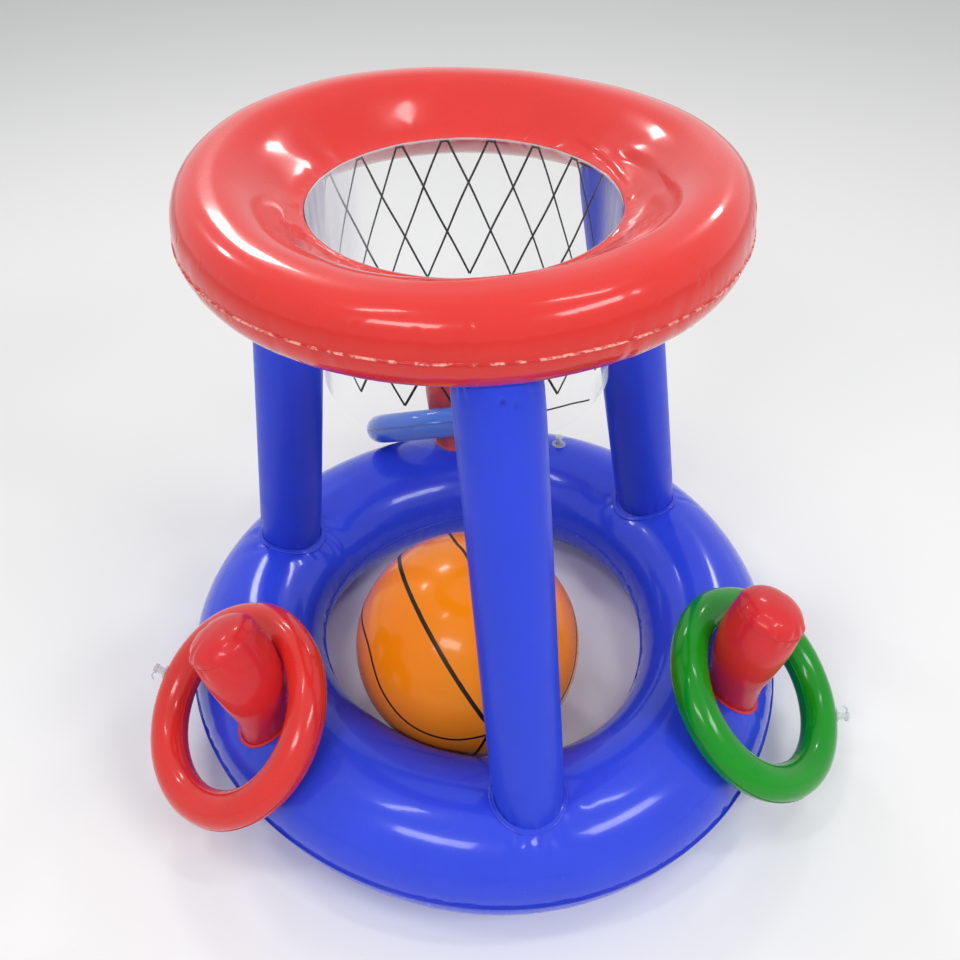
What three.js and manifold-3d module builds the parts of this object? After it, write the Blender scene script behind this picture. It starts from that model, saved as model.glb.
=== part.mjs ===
// Inflatable poolside basketball hoop with ring toss.
// Millimetres, +Z up, the floor at z = 0, front leg towards -Y.
import * as THREE from 'three';
import { mergeVertices } from 'three/addons/utils/BufferGeometryUtils.js';
import Module from 'manifold-3d';

const wasm = await Module();
wasm.setup();
const { Manifold, Mesh: ManifoldMesh } = wasm;

// Film and running gaps
const film = 0.8;
const weldGap = 0.3;
const seatGap = 0.95;

// A search for a surface starts this far off it and goes this far
const search = { lift: 14, reach: 40, steps: 50 };

// Where the middle of the base ring stands in the row frame
const ringMiddle = { x: -0.43, y: -20.53 };

// The two big rings. Crest circle and half widths either side of it; crest level of the upper
// and the lower sheet; seam levels; how full the outer side is (2 is round) and, where the inner
// side is a slope and not round, its power; drift and swell are [cos, sin] waves round the ring
// of the crest circle and of the upper crest.
const base = {
  crest: 234.4, outHalf: 65.6, inHalf: 65.6, outSeam: 58.5, inSeam: 58.5, floor: 0,
  upper: { peak: 119.5, full: 2, slope: 0, stations: [24, 43, 60, 75, 90, 105, 120, 137, 156] },
  lower: { peak: -2.5, full: 2, slope: 0, stations: [26, 50, 74, 106, 130, 154] },
  outLip: 2.2, inLip: 1.5, around: 48, lean: { x: 0, y: 0 },
  drift: [[1.26, 0.36], [-1.77, 0.03], [-3.2, 2.35]], swell: [],
};
const hoop = {
  crest: 177.1, outHalf: 32, inHalf: 58.1, outSeam: 533.5, inSeam: 537, floor: -Infinity,
  upper: { peak: 570.9, full: 2.65, slope: 1.5, stations: [28, 56, 82, 108, 134, 160] },
  lower: { peak: 503, full: 2, slope: 1, stations: [26, 52, 78, 104, 130, 156] },
  outLip: 1.6, inLip: 2, around: 44, lean: { x: -15, y: 1 },
  drift: [], swell: [[0.06, 2.63], [1.5, -3.21]],
};

// Toss ring, in its own frame with its axis along +Z
const toss = {
  crest: 83.4, outHalf: 16.7, inHalf: 16.7, outSeam: 0, inSeam: 0, floor: -Infinity,
  upper: { peak: 16.7, full: 2, slope: 0, stations: [36, 72, 108, 144] },
  lower: { peak: -16.7, full: 2, slope: 0, stations: [36, 72, 108, 144] },
  outLip: 0.8, inLip: 0, around: 22, lean: { x: 0, y: 0 },
  drift: [], swell: [],
};

// Legs: foot on the base ring, head under the hoop
const leg = { easing: 15, around: 20 };
const legs = [
  {
    name: 'front', azimuth: -89.2, footCircle: 237, footRadius: 28.4,
    radius: 30.3, headCircle: 168, headAzimuth: -90.4, headRadius: 28.6,
  },
  {
    name: 'right', azimuth: 30.2, footCircle: 229.5, footRadius: 31,
    radius: 32, headCircle: 168.8, headAzimuth: 33.3, headRadius: 29.6,
  },
  {
    name: 'left', azimuth: 149.7, footCircle: 228.1, footRadius: 31,
    radius: 32, headCircle: 164.2, headAzimuth: 145.6, headRadius: 29.6,
  },
];

// Ring toss pegs: distance up the curved centre line against radius, then the crown
const pegProfile = [[0, 22.6], [7, 23.4], [20, 25.4], [44, 30], [74, 32.5], [97, 31]];
const pegLining = [0, 2, 4, 5];
const pegWall = { around: 20, height: 97 };
const crown = { rim: 31, brim: 1.2, rise: 17, pleatDepth: 0.7, around: 20 };

// Each peg stands upright at its foot and bends over by an angle at its rim, some way
const pegs = [
  { name: 'right', circle: 260, azimuth: -35.5, bend: 20, towards: 5 },
  { name: 'back', circle: 247, azimuth: 90.5, bend: 6, towards: 91 },
  { name: 'left', circle: 253, azimuth: -149.9, bend: 27, towards: 150 },
];

// Welded flanges round the foot of each leg and peg
const weldFlange = { width: 5.5, thick: 0.7, clear: 2.9, around: 16 };

// Where each toss ring hangs: its middle, the way its axis leans, and its valve
const tossPlaces = [
  { name: 'green', circle: 280, azimuth: -34.6, height: 114.8, facing: -33.4, tilt: 37.6, valveAt: 25 },
  { name: 'blue', circle: 264.7, azimuth: 91.5, height: 129.9, facing: 91.5, tilt: 37.5, valveAt: 210 },
  { name: 'red', circle: 272.8, azimuth: -153, height: 123.4, facing: -152, tilt: 39.6, valveAt: 290 },
];
const tossValveRise = 35;

// Film sleeve that hangs from the hoop's inner seam
const sleeve = { radius: 116.1, wall: 0.6, top: 537.6, flareFrom: 425, bottom: 395, flare: 1.6, around: 44 };

// Ball, resting on the floor against the base ring
const ball = {
  radius: 108.2, x: -25.7, y: -61.4, rest: 0.3, around: 24, bands: 5,
  seamNormal: [0.845, 0.15, 0.514], valveWay: [0.25, 0.8, 0.55],
};

// Valve: flange on the film, stem through it, plug in the stem
const valve = {
  hole: 4.3, flangeHole: 3.8, flange: 8.5, flangeThick: 0.7, stem: 3.3, bore: 2.2, shank: 10, rim: 4.6,
  rimThick: 1.3, below: 2.6, spigot: 1.9, spigotDeep: 5, cap: 4.6, capThick: 1.5, grip: 1.6, around: 10,
};
const smallFlange = 6.6;
const drill = { inside: -5, outside: 3 };
const baseValve = { circle: 247, azimuth: 61 };
const hoopValve = { circle: 190, azimuth: 62 };

// Film colours
const paint = (color, roughness) => new THREE.MeshStandardMaterial({ color, roughness, metalness: 0 });
const red = paint(0xdf3b30, 0.3);
const blue = paint(0x3a4fd0, 0.3);
const skyBlue = paint(0x3d78e0, 0.3);
const green = paint(0x0f8f24, 0.3);
const orange = paint(0xf58a14, 0.3);
const clear = paint(0xdfe6ea, 0.2);
clear.transparent = true;
clear.opacity = 0.45;

const radians = THREE.MathUtils.degToRad;

// Point on a vertical circle about the base ring's axis
function onCircle(circle, azimuth, z) {
  const a = radians(azimuth);
  return new THREE.Vector3(circle * Math.cos(a), circle * Math.sin(a), z);
}

// Sum of the waves round a ring, from its [cos, sin] pairs
function waves(pairs, azimuth) {
  return pairs.reduce((sum, [c, s], k) => {
    const a = (k + 1) * azimuth;
    return sum + c * Math.cos(a) + s * Math.sin(a);
  }, 0);
}

// A ring's upper sheet at side 1, its lower sheet at side -1
const sheetOf = (ring, side) => (side > 0 ? ring.upper : ring.lower);

// Level of a sheet's crest at an azimuth
function crestLevel(ring, side, azimuth) {
  return sheetOf(ring, side).peak + (side > 0 ? waves(ring.swell, azimuth) : 0);
}

// Level of a ring's film at a distance from the ring's axis, at an azimuth
function filmLevel(ring, side, r, azimuth) {
  const { full, slope } = sheetOf(ring, side);
  const off = r - waves(ring.drift, azimuth) - ring.crest;
  const u = Math.min(1, Math.abs(off) / (off > 0 ? ring.outHalf : ring.inHalf));
  const seam = off > 0 ? ring.outSeam : ring.inSeam;
  const round = (1 - u ** full) ** (1 / full);
  const share = off < 0 && slope > 0 ? Math.cos(u * Math.PI / 2) ** slope : round;
  return seam + (crestLevel(ring, side, azimuth) - seam) * share;
}

// Signed clearance of a point above (side 1) or below (side -1) a ring's film
function ringClearance(ring, side) {
  return (p) => {
    const [x, y] = [p.x - ring.lean.x, p.y - ring.lean.y];
    return side * (p.z - filmLevel(ring, side, Math.hypot(x, y), Math.atan2(y, x)));
  };
}

// Section stations from the outer seam to the inner seam, as [radius, level]
function sectionStations(ring, side, azimuth) {
  const { full, slope, stations } = sheetOf(ring, side);
  const middle = ring.crest + waves(ring.drift, azimuth);
  const peak = crestLevel(ring, side, azimuth);
  return stations.map((deg) => {
    const [c, s] = [Math.cos(radians(deg)), Math.sin(radians(deg))];
    const lift = peak - ring.outSeam;
    if (deg <= 90) return [middle + ring.outHalf * c ** (2 / full), ring.outSeam + lift * s ** (2 / full)];
    const rise = peak - ring.inSeam;
    if (slope > 0) return [middle - ring.inHalf * (deg / 90 - 1), ring.inSeam + rise * s ** slope];
    return [middle + ring.inHalf * c, ring.inSeam + rise * s];
  });
}

// Stations moved inwards by the film, along the section's own normals
function offsetStations(stations, by) {
  return stations.map(([r, h], i) => {
    const [ra, ha] = stations[Math.max(0, i - 1)];
    const [rb, hb] = stations[Math.min(stations.length - 1, i + 1)];
    const length = Math.hypot(rb - ra, hb - ha);
    return [r - by * (hb - ha) / length, h + by * (rb - ra) / length];
  });
}

// Turn a closed profile of [radius, height] round the +Z axis
function revolve(profile, around) {
  const points = [...profile, profile[0]].map(([r, h]) => new THREE.Vector2(r, h));
  return tidy(new THREE.LatheGeometry(points, around).rotateX(Math.PI / 2));
}

// Weld vertices, and turn the faces outwards when the enclosed volume is negative
function tidy(geometry) {
  const bare = geometry.clone();
  bare.deleteAttribute('normal');
  bare.deleteAttribute('uv');
  const welded = mergeVertices(bare, 1e-4);
  return dropFlatFaces(welded);
}

// Drop faces with two equal corners and flip an inside-out body
function dropFlatFaces(geometry) {
  const index = geometry.index.array;
  const position = geometry.attributes.position;
  const [a, b, c] = [new THREE.Vector3(), new THREE.Vector3(), new THREE.Vector3()];
  let kept = [];
  let volume = 0;
  for (let i = 0; i < index.length; i += 3) {
    const [ia, ib, ic] = [index[i], index[i + 1], index[i + 2]];
    if (ia === ib || ib === ic || ic === ia) continue;
    kept.push(ia, ib, ic);
    a.fromBufferAttribute(position, ia);
    b.fromBufferAttribute(position, ib);
    c.fromBufferAttribute(position, ic);
    volume += a.dot(b.cross(c));
  }
  if (volume < 0) kept = kept.reverse();
  geometry.setIndex(kept);
  geometry.computeVertexNormals();
  return geometry;
}

// Closed outline of a welded sheet at an azimuth, as [radius, level]
function sheetOutline(ring, side, azimuth) {
  const near = side * weldGap / 2;
  const far = side * (weldGap / 2 + film);
  const outer = sectionStations(ring, side, azimuth);
  const lining = offsetStations(outer, side * film);
  const outRim = ring.crest + ring.outHalf + waves(ring.drift, azimuth);
  const inRim = outRim - ring.outHalf - ring.inHalf;
  const { outSeam, inSeam } = ring;
  const innerLip = ring.inLip > 0 ? [
    [inRim, inSeam + far],
    [inRim - ring.inLip, inSeam + far],
    [inRim - ring.inLip, inSeam + near],
  ] : [[inRim, inSeam + near]];
  const settle = (points, lowest) => points.map(([r, z]) => [r, Math.max(z, lowest)]);
  return [
    ...settle([
      [outRim + ring.outLip, outSeam + near],
      [outRim + ring.outLip, outSeam + far],
      [outRim, outSeam + far],
      ...outer,
      ...innerLip,
    ], ring.floor),
    ...settle([
      [inRim + film * (sheetOf(ring, side).slope > 0 ? 2 : 1), inSeam + near],
      ...lining.reverse(),
      [outRim - film, outSeam + near],
    ], ring.floor + film),
  ];
}

// One welded sheet of an inflated ring: side 1 is the upper sheet, -1 the lower
function ringSheet(ring, side) {
  const loops = Array.from({ length: ring.around }, (_, k) => {
    const a = 2 * Math.PI * k / ring.around - Math.PI / 2;
    return sheetOutline(ring, side, a)
      .map(([r, z]) => new THREE.Vector3(r * Math.cos(a) + ring.lean.x, r * Math.sin(a) + ring.lean.y, z));
  });
  return loftLoops(loops);
}

// Move along a line until the clearance from a surface is the wanted gap
function meet(clearance, from, way, reach, gap) {
  let near = 0;
  let far = reach;
  const at = (t) => from.clone().addScaledVector(way, t);
  for (let i = 0; i < search.steps; i += 1) {
    const middle = (near + far) / 2;
    if (clearance(at(middle)) > gap) near = middle;
    else far = middle;
  }
  return at(near);
}

// Close a grid of rings of points, each ring a loop of the same length
function loftLoops(loops) {
  const n = loops[0].length;
  const positions = loops.flat().flatMap((p) => [p.x, p.y, p.z]);
  const index = [];
  loops.forEach((_, k) => {
    const next = (k + 1) % loops.length;
    for (let i = 0; i < n; i += 1) {
      const j = (i + 1) % n;
      const [a, b, c, d] = [k * n + i, k * n + j, next * n + j, next * n + i];
      index.push(a, b, c, a, c, d);
    }
  });
  const geometry = new THREE.BufferGeometry();
  geometry.setAttribute('position', new THREE.Float32BufferAttribute(positions, 3));
  geometry.setIndex(index);
  return tidy(geometry);
}

// A direction square to an axis
function across(axis) {
  const helper = Math.abs(axis.z) > 0.9 ? new THREE.Vector3(1, 0, 0) : new THREE.Vector3(0, 0, 1);
  return new THREE.Vector3().crossVectors(helper, axis).normalize();
}

// Loop of points of a radius about an axis point
function loop(centre, axis, radius, around, u = across(axis)) {
  const v = new THREE.Vector3().crossVectors(axis, u);
  return Array.from({ length: around }, (_, i) => {
    const a = 2 * Math.PI * i / around;
    return centre.clone().addScaledVector(u, radius * Math.cos(a)).addScaledVector(v, radius * Math.sin(a));
  });
}

// A leg: a film tube saddle-cut to the base ring below and to the hoop above
function legTube(spec) {
  const foot = onCircle(spec.footCircle, spec.azimuth, base.upper.peak);
  const head = onCircle(spec.headCircle, spec.headAzimuth, hoop.lower.peak);
  head.x += hoop.lean.x;
  head.y += hoop.lean.y;
  const axis = head.clone().sub(foot);
  const length = axis.length();
  axis.normalize();
  const middle = foot.clone().lerp(head, 0.5);
  const wall = (inset) => {
    const full = loop(middle, axis, spec.radius - inset, leg.around);
    const feet = loop(middle, axis, spec.footRadius - inset, leg.around)
      .map((p) => meet(ringClearance(base, 1), p, axis.clone().negate(), length, seatGap));
    const heads = loop(middle, axis, spec.headRadius - inset, leg.around)
      .map((p) => meet(ringClearance(hoop, -1), p, axis, length, seatGap));
    const along = (from, by) => full.map((p, i) => {
      const t = from[i].clone().sub(middle).dot(axis) + by;
      return p.clone().addScaledVector(axis, t);
    });
    return [feet, along(feet, leg.easing), along(heads, -leg.easing), heads];
  };
  return loftLoops([...wall(0), ...wall(film).reverse()]);
}

// Where a peg's curved centre line is at a distance up from the foot, and which way it points
function pegSpine(spec, s) {
  const to = radians(spec.towards);
  const bend = radians(spec.bend) / pegWall.height;
  const turn = bend * s;
  const at = onCircle(spec.circle, spec.azimuth, 0);
  at.z = filmLevel(base, 1, spec.circle, radians(spec.azimuth)) + Math.sin(turn) / bend;
  at.x += (1 - Math.cos(turn)) / bend * Math.cos(to);
  at.y += (1 - Math.cos(turn)) / bend * Math.sin(to);
  return {
    at,
    axis: new THREE.Vector3(Math.sin(turn) * Math.cos(to), Math.sin(turn) * Math.sin(to), Math.cos(turn)),
    side: new THREE.Vector3(-Math.sin(to), Math.cos(to), 0),
  };
}

// A peg's side wall, saddle-cut to the base ring and open under its crown
function pegBody(spec) {
  const wall = (inset) => pegProfile.map(([s, r], i) => {
    const { at, axis, side } = pegSpine(spec, s);
    const ring = loop(at, axis, r - inset, pegWall.around, side);
    if (i > 0) return ring;
    const above = ring.map((p) => p.addScaledVector(axis, search.lift));
    return above.map((p) => meet(ringClearance(base, 1), p, axis.clone().negate(), search.reach, seatGap));
  });
  const lining = wall(film).filter((_, i) => pegLining.includes(i));
  return loftLoops([...wall(0), ...lining.reverse()]);
}

// The peg's crown: a pleated film disc that domes over the top and is open below
function pegCrown(spec) {
  const { at, axis, side } = pegSpine(spec, pegWall.height);
  const up = (h) => at.clone().addScaledVector(axis, weldGap + h);
  const stations = [[1.0, 0], [0.93, 0.34], [0.74, 0.68], [0.42, 0.92], [0.1, 1]];
  const dome = (inset) => stations.map(([ru, hu], k) => {
    const r = crown.rim * ru - inset * (k < 2 ? 1 : 0);
    const h = crown.rise * hu - inset * (k < 1 ? 0 : 1);
    return loop(up(film + h), axis, r, crown.around, side).map((p, i) => {
      const pleat = i % 2 === 0 && k > 0 && k < 4 ? crown.pleatDepth * (1 - hu * 0.7) : 0;
      return p.addScaledVector(axis, -pleat);
    });
  });
  const brim = (r, h) => loop(up(h), axis, r, crown.around, side);
  const outer = dome(0);
  const inner = dome(film);
  const top = up(film + crown.rise);
  const under = up(crown.rise);
  const loops = [
    Array.from({ length: crown.around }, () => top.clone()),
    ...[...outer].reverse(),
    brim(crown.rim + crown.brim, film),
    brim(crown.rim + crown.brim, 0),
    brim(crown.rim - film, 0),
    ...inner.slice(1, 4),
    Array.from({ length: crown.around }, () => under.clone()),
  ];
  return openLoft(loops);
}

// Loft whose first and last loops are each one point
function openLoft(loops) {
  const n = loops[0].length;
  const positions = loops.flat().flatMap((p) => [p.x, p.y, p.z]);
  const index = [];
  for (let k = 0; k + 1 < loops.length; k += 1) {
    for (let i = 0; i < n; i += 1) {
      const j = (i + 1) % n;
      const [a, b, c, d] = [k * n + i, k * n + j, (k + 1) * n + j, (k + 1) * n + i];
      index.push(a, b, c, a, c, d);
    }
  }
  const geometry = new THREE.BufferGeometry();
  geometry.setAttribute('position', new THREE.Float32BufferAttribute(positions, 3));
  geometry.setIndex(index);
  return tidy(geometry);
}

// A flange of film that follows the surface it is welded to
function surfaceFlange(clearance, centre, axis, [inRadius, outRadius], thick, around) {
  const back = axis.clone().negate();
  const rest = (r, gap) => loop(centre.clone().addScaledVector(axis, search.lift), axis, r, around)
    .map((p) => meet(clearance, p, back, search.reach, gap));
  const raise = (points) => points.map((p) => p.clone().addScaledVector(axis, thick));
  const inside = rest(inRadius, seatGap);
  const outside = rest(outRadius, seatGap);
  return loftLoops([inside, outside, raise(outside), raise(inside)]);
}

// Solid or bored round body along an axis, from a profile of [radius, distance]
function turned(origin, axis, profile, around) {
  const at = (s) => origin.clone().addScaledVector(axis, s);
  const loops = profile.map(([r, s]) => (r === 0
    ? Array.from({ length: around }, () => at(s))
    : loop(at(s), axis, r, around)));
  return profile[0][0] === 0 ? openLoft(loops) : loftLoops(loops);
}

// Stem of a valve: a bored tube with a rim outside the flange and a shoulder behind it
function valveStem(seat, axis) {
  const top = valve.shank;
  return turned(seat, axis, [
    [valve.stem, -valve.below],
    [valve.stem, top - valve.rimThick],
    [valve.rim, top - valve.rimThick],
    [valve.rim, top],
    [valve.bore, top],
    [valve.bore, -valve.below],
  ], valve.around);
}

// Plug of a valve: a spigot in the stem's bore, a cap and a pull tab
function valvePlug(seat, axis) {
  const face = valve.shank + weldGap;
  const end = face + valve.capThick;
  return turned(seat, axis, [
    [0, face - valve.spigotDeep],
    [valve.spigot, face - valve.spigotDeep],
    [valve.spigot, face],
    [valve.cap, face],
    [valve.cap, end],
    [valve.cap - valve.grip, end],
    [valve.cap - valve.grip, end + valve.grip / 2],
    [0, end + valve.grip / 2],
  ], valve.around);
}

// The three pieces of a valve standing on a film surface
function valveSet(clearance, near, axis, flangeRadius) {
  const back = axis.clone().negate();
  const seat = meet(clearance, near.clone().addScaledVector(axis, search.lift), back, search.reach, 0);
  const radii = [valve.flangeHole, flangeRadius];
  return {
    seat,
    flange: surfaceFlange(clearance, seat, axis, radii, valve.flangeThick, valve.around),
    stem: valveStem(seat, axis),
    plug: valvePlug(seat, axis),
  };
}

// three.js geometry to a manifold solid and back
function toManifold(geometry) {
  const mesh = new ManifoldMesh({
    numProp: 3,
    vertProperties: new Float32Array(geometry.attributes.position.array),
    triVerts: new Uint32Array(geometry.index.array),
  });
  mesh.merge();
  return new Manifold(mesh);
}

function fromManifold(solid) {
  const mesh = solid.getMesh();
  const geometry = new THREE.BufferGeometry();
  geometry.setAttribute('position', new THREE.Float32BufferAttribute(mesh.vertProperties, 3));
  geometry.setIndex(new THREE.Uint32BufferAttribute(mesh.triVerts, 1));
  return tidy(geometry);
}

// Pierce a film sheet where a valve's stem goes through it
function pierce(sheet, seat, axis) {
  const plug = turned(seat, axis, [
    [0, drill.inside],
    [valve.hole, drill.inside],
    [valve.hole, drill.outside],
    [0, drill.outside],
  ], valve.around);
  return fromManifold(toManifold(sheet).subtract(toManifold(plug)));
}

// One half of the ball, a hemispherical film shell on one side of its seam
function ballHalf(side) {
  const profile = [];
  const lift = weldGap / 2;
  const bow = (r) => {
    for (let k = 0; k <= ball.bands; k += 1) {
      const a = (Math.PI / 2) * (k / ball.bands);
      profile.push([r * Math.cos(a), Math.max(r * Math.sin(a), 0) + lift]);
    }
  };
  bow(ball.radius - lift);
  profile[profile.length - 1][0] = 0;
  const outerCount = profile.length;
  bow(ball.radius - lift - film);
  profile[profile.length - 1][0] = 0;
  const shell = [...profile.slice(0, outerCount), ...profile.slice(outerCount).reverse()];
  const turn = new THREE.Quaternion().setFromUnitVectors(
    new THREE.Vector3(0, 0, 1),
    new THREE.Vector3(...ball.seamNormal).normalize().multiplyScalar(side),
  );
  return revolve(shell, ball.around).applyQuaternion(turn).translate(ball.x, ball.y, ball.radius + ball.rest);
}

// The film sleeve with its open ends and slightly flared hem
function netSleeve() {
  const r = sleeve.radius;
  const inside = r - sleeve.wall;
  return revolve([
    [r, sleeve.top],
    [inside, sleeve.top],
    [inside, sleeve.flareFrom],
    [inside + sleeve.flare, sleeve.bottom],
    [r + sleeve.flare, sleeve.bottom],
    [r, sleeve.flareFrom],
  ], sleeve.around).translate(hoop.lean.x, hoop.lean.y, 0);
}

// A toss ring with its valve, made level and then hung round its peg
function tossRing(place) {
  const a = radians(place.valveAt);
  const b = radians(tossValveRise);
  const way = new THREE.Vector3(Math.cos(b) * Math.cos(a), Math.cos(b) * Math.sin(a), Math.sin(b));
  const near = new THREE.Vector3(toss.crest * Math.cos(a), toss.crest * Math.sin(a), 0)
    .addScaledVector(way, toss.outHalf);
  const clearance = (p) => {
    const r = Math.hypot(p.x, p.y);
    return Math.hypot(r - toss.crest, p.z) - toss.outHalf;
  };
  const fitting = valveSet(clearance, near, way, smallFlange);
  const hang = new THREE.Matrix4().makeTranslation(onCircle(place.circle, place.azimuth, place.height))
    .multiply(new THREE.Matrix4().makeRotationZ(radians(place.facing)))
    .multiply(new THREE.Matrix4().makeRotationY(radians(place.tilt)));
  const pieces = {
    upper: pierce(ringSheet(toss, 1), fitting.seat, way),
    lower: ringSheet(toss, -1),
    valve_flange: fitting.flange,
    valve_stem: fitting.stem,
    valve_plug: fitting.plug,
  };
  Object.values(pieces).forEach((geometry) => geometry.applyMatrix4(hang));
  return pieces;
}

const part = new THREE.Group();
part.name = 'poolside_hoop';

// Name a geometry, colour it, move it to the row frame and add it to the part
function add(name, geometry, material) {
  const mesh = new THREE.Mesh(geometry.translate(ringMiddle.x, ringMiddle.y, 0), material);
  mesh.name = name;
  part.add(mesh);
}

function addValve(owner, fitting) {
  add(`${owner}_valve_flange`, fitting.flange, clear);
  add(`${owner}_valve_stem`, fitting.stem, clear);
  add(`${owner}_valve_plug`, fitting.plug, clear);
}

// Outward normal of a ring's film at a distance from its axis
function ringNormal(ring, circle, azimuth, side) {
  const a = radians(azimuth);
  const slope = filmLevel(ring, side, circle + 0.5, a) - filmLevel(ring, side, circle - 0.5, a);
  return new THREE.Vector3(-slope * Math.cos(a), -slope * Math.sin(a), 1).normalize().multiplyScalar(side);
}

// Base ring with its valve
function addBase() {
  const way = ringNormal(base, baseValve.circle, baseValve.azimuth, 1);
  const near = onCircle(baseValve.circle, baseValve.azimuth, base.upper.peak);
  const fitting = valveSet(ringClearance(base, 1), near, way, valve.flange);
  add('base_upper_sheet', pierce(ringSheet(base, 1), fitting.seat, way), blue);
  add('base_lower_sheet', ringSheet(base, -1), blue);
  addValve('base', fitting);
}

// Hoop ring with its valve underneath, and the sleeve
function addHoop() {
  const way = ringNormal(hoop, hoopValve.circle, hoopValve.azimuth, -1);
  const near = onCircle(hoopValve.circle, hoopValve.azimuth, hoop.lower.peak);
  near.x += hoop.lean.x;
  near.y += hoop.lean.y;
  const fitting = valveSet(ringClearance(hoop, -1), near, way, valve.flange);
  add('hoop_upper_sheet', ringSheet(hoop, 1), red);
  add('hoop_lower_sheet', pierce(ringSheet(hoop, -1), fitting.seat, way), red);
  addValve('hoop', fitting);
  add('net_sleeve', netSleeve(), clear);
}

// Weld flange round a leg's or peg's foot on the base ring
function footFlange(foot, axis, radius) {
  const inside = radius + weldFlange.clear;
  const radii = [inside, inside + weldFlange.width];
  return surfaceFlange(ringClearance(base, 1), foot, axis, radii, weldFlange.thick, weldFlange.around);
}

function addLegs() {
  legs.forEach((spec) => {
    const foot = onCircle(spec.footCircle, spec.azimuth, base.upper.peak);
    const up = new THREE.Vector3(0, 0, 1);
    const flange = footFlange(foot, up, spec.footRadius);
    add(`leg_${spec.name}`, legTube(spec), blue);
    add(`leg_${spec.name}_foot_flange`, flange, blue);
  });
}

function addPegs() {
  pegs.forEach((spec) => {
    const { at, axis } = pegSpine(spec, 0);
    const flange = footFlange(at, axis, pegProfile[0][1]);
    add(`peg_${spec.name}_wall`, pegBody(spec), red);
    add(`peg_${spec.name}_crown`, pegCrown(spec), red);
    add(`peg_${spec.name}_foot_flange`, flange, red);
  });
}

function addTossRings() {
  const shades = { green, blue: skyBlue, red };
  tossPlaces.forEach((place) => {
    const pieces = tossRing(place);
    Object.entries(pieces).forEach(([piece, geometry]) => {
      const shade = piece.startsWith('valve') ? clear : shades[place.name];
      const suffix = piece.startsWith('valve') ? piece : `${piece}_sheet`;
      add(`toss_${place.name}_${suffix}`, geometry, shade);
    });
  });
}

function addBall() {
  const centre = new THREE.Vector3(ball.x, ball.y, ball.radius + ball.rest);
  const way = new THREE.Vector3(...ball.valveWay).normalize();
  const clearance = (p) => p.distanceTo(centre) - ball.radius;
  const fitting = valveSet(clearance, centre.clone().addScaledVector(way, ball.radius), way, valve.flange);
  const pierced = way.dot(new THREE.Vector3(...ball.seamNormal)) > 0 ? 1 : -1;
  add('ball_half_pierced', pierce(ballHalf(pierced), fitting.seat, way), orange);
  add('ball_half_plain', ballHalf(-pierced), orange);
  addValve('ball', fitting);
}

addBase();
addHoop();
addLegs();
addPegs();
addTossRings();
addBall();

export default part;
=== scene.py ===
"""Inflatable hoop set: base ring, three legs, hoop with its film net, ring toss pegs, toss rings and ball.

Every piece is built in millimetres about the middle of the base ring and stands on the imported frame.
"""

import logging
import math
from dataclasses import dataclass, replace
from enum import Enum
from functools import partial
from typing import Callable, Iterable, Optional, Sequence, Union

import bmesh
import bpy
import numpy as np
from mathutils import Matrix, Vector


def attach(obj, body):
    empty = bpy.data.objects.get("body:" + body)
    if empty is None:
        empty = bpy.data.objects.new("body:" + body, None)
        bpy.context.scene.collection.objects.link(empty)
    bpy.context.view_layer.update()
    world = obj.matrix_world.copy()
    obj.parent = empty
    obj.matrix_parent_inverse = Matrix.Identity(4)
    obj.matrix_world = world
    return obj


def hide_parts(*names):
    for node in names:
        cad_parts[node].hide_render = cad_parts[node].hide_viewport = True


Array = np.ndarray
Clearance = Callable[[Array], Array]

LOG = logging.getLogger("hoop_set")
MM = 0.001

# Sizes in millimetres

RING_MIDDLE = np.array([-0.43, -20.53, 0.0])  # middle of the base ring in the frame
FILM_GAP = 0.35  # room between a film and a valve's flange
FOOT_GAP = 0.1  # room between a film and the end of a tube that is cut to it
LIP_THICK = 0.55
PRINT_GAP = 0.05
PRINT_THICK = 0.14
ABOVE = 16  # height over a film at which points start to slide down to it
REACH = 45  # longest way that they slide

# Share of a weld's full shade at the ends of legs and pegs

TUBE_WELD = 0.6

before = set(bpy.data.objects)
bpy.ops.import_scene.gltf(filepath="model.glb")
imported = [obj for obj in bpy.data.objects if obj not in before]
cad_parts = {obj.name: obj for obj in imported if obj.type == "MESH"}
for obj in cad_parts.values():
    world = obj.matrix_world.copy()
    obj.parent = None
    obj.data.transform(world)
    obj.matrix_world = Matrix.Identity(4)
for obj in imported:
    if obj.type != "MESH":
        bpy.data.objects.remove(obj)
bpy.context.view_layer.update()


# Points and directions


def unit(vectors: Union[Array, Sequence[float]]) -> Array:
    """One vector or rows of them, scaled to length one."""
    v = np.asarray(vectors, float)
    return v / np.linalg.norm(v, axis=-1, keepdims=True)


def polar(circle: float, azimuth: float, height: float = 0.0) -> Array:
    """Point on a level circle about the ring's axis; azimuth in degrees."""
    a = math.radians(azimuth)
    return np.array([circle * math.cos(a), circle * math.sin(a), height])


def square_to(axis: Array) -> tuple[Array, Array]:
    """Two directions square to an axis and to each other."""
    helper = np.array([1.0, 0, 0]) if abs(axis[2]) > 0.9 else np.array([0, 0, 1.0])
    u = unit(np.cross(helper, axis))
    return u, np.cross(axis, u)


def full_turn(count: int) -> Array:
    """Even angles round a full turn, in radians."""
    return np.linspace(0, 2 * np.pi, count, endpoint=False)


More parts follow.
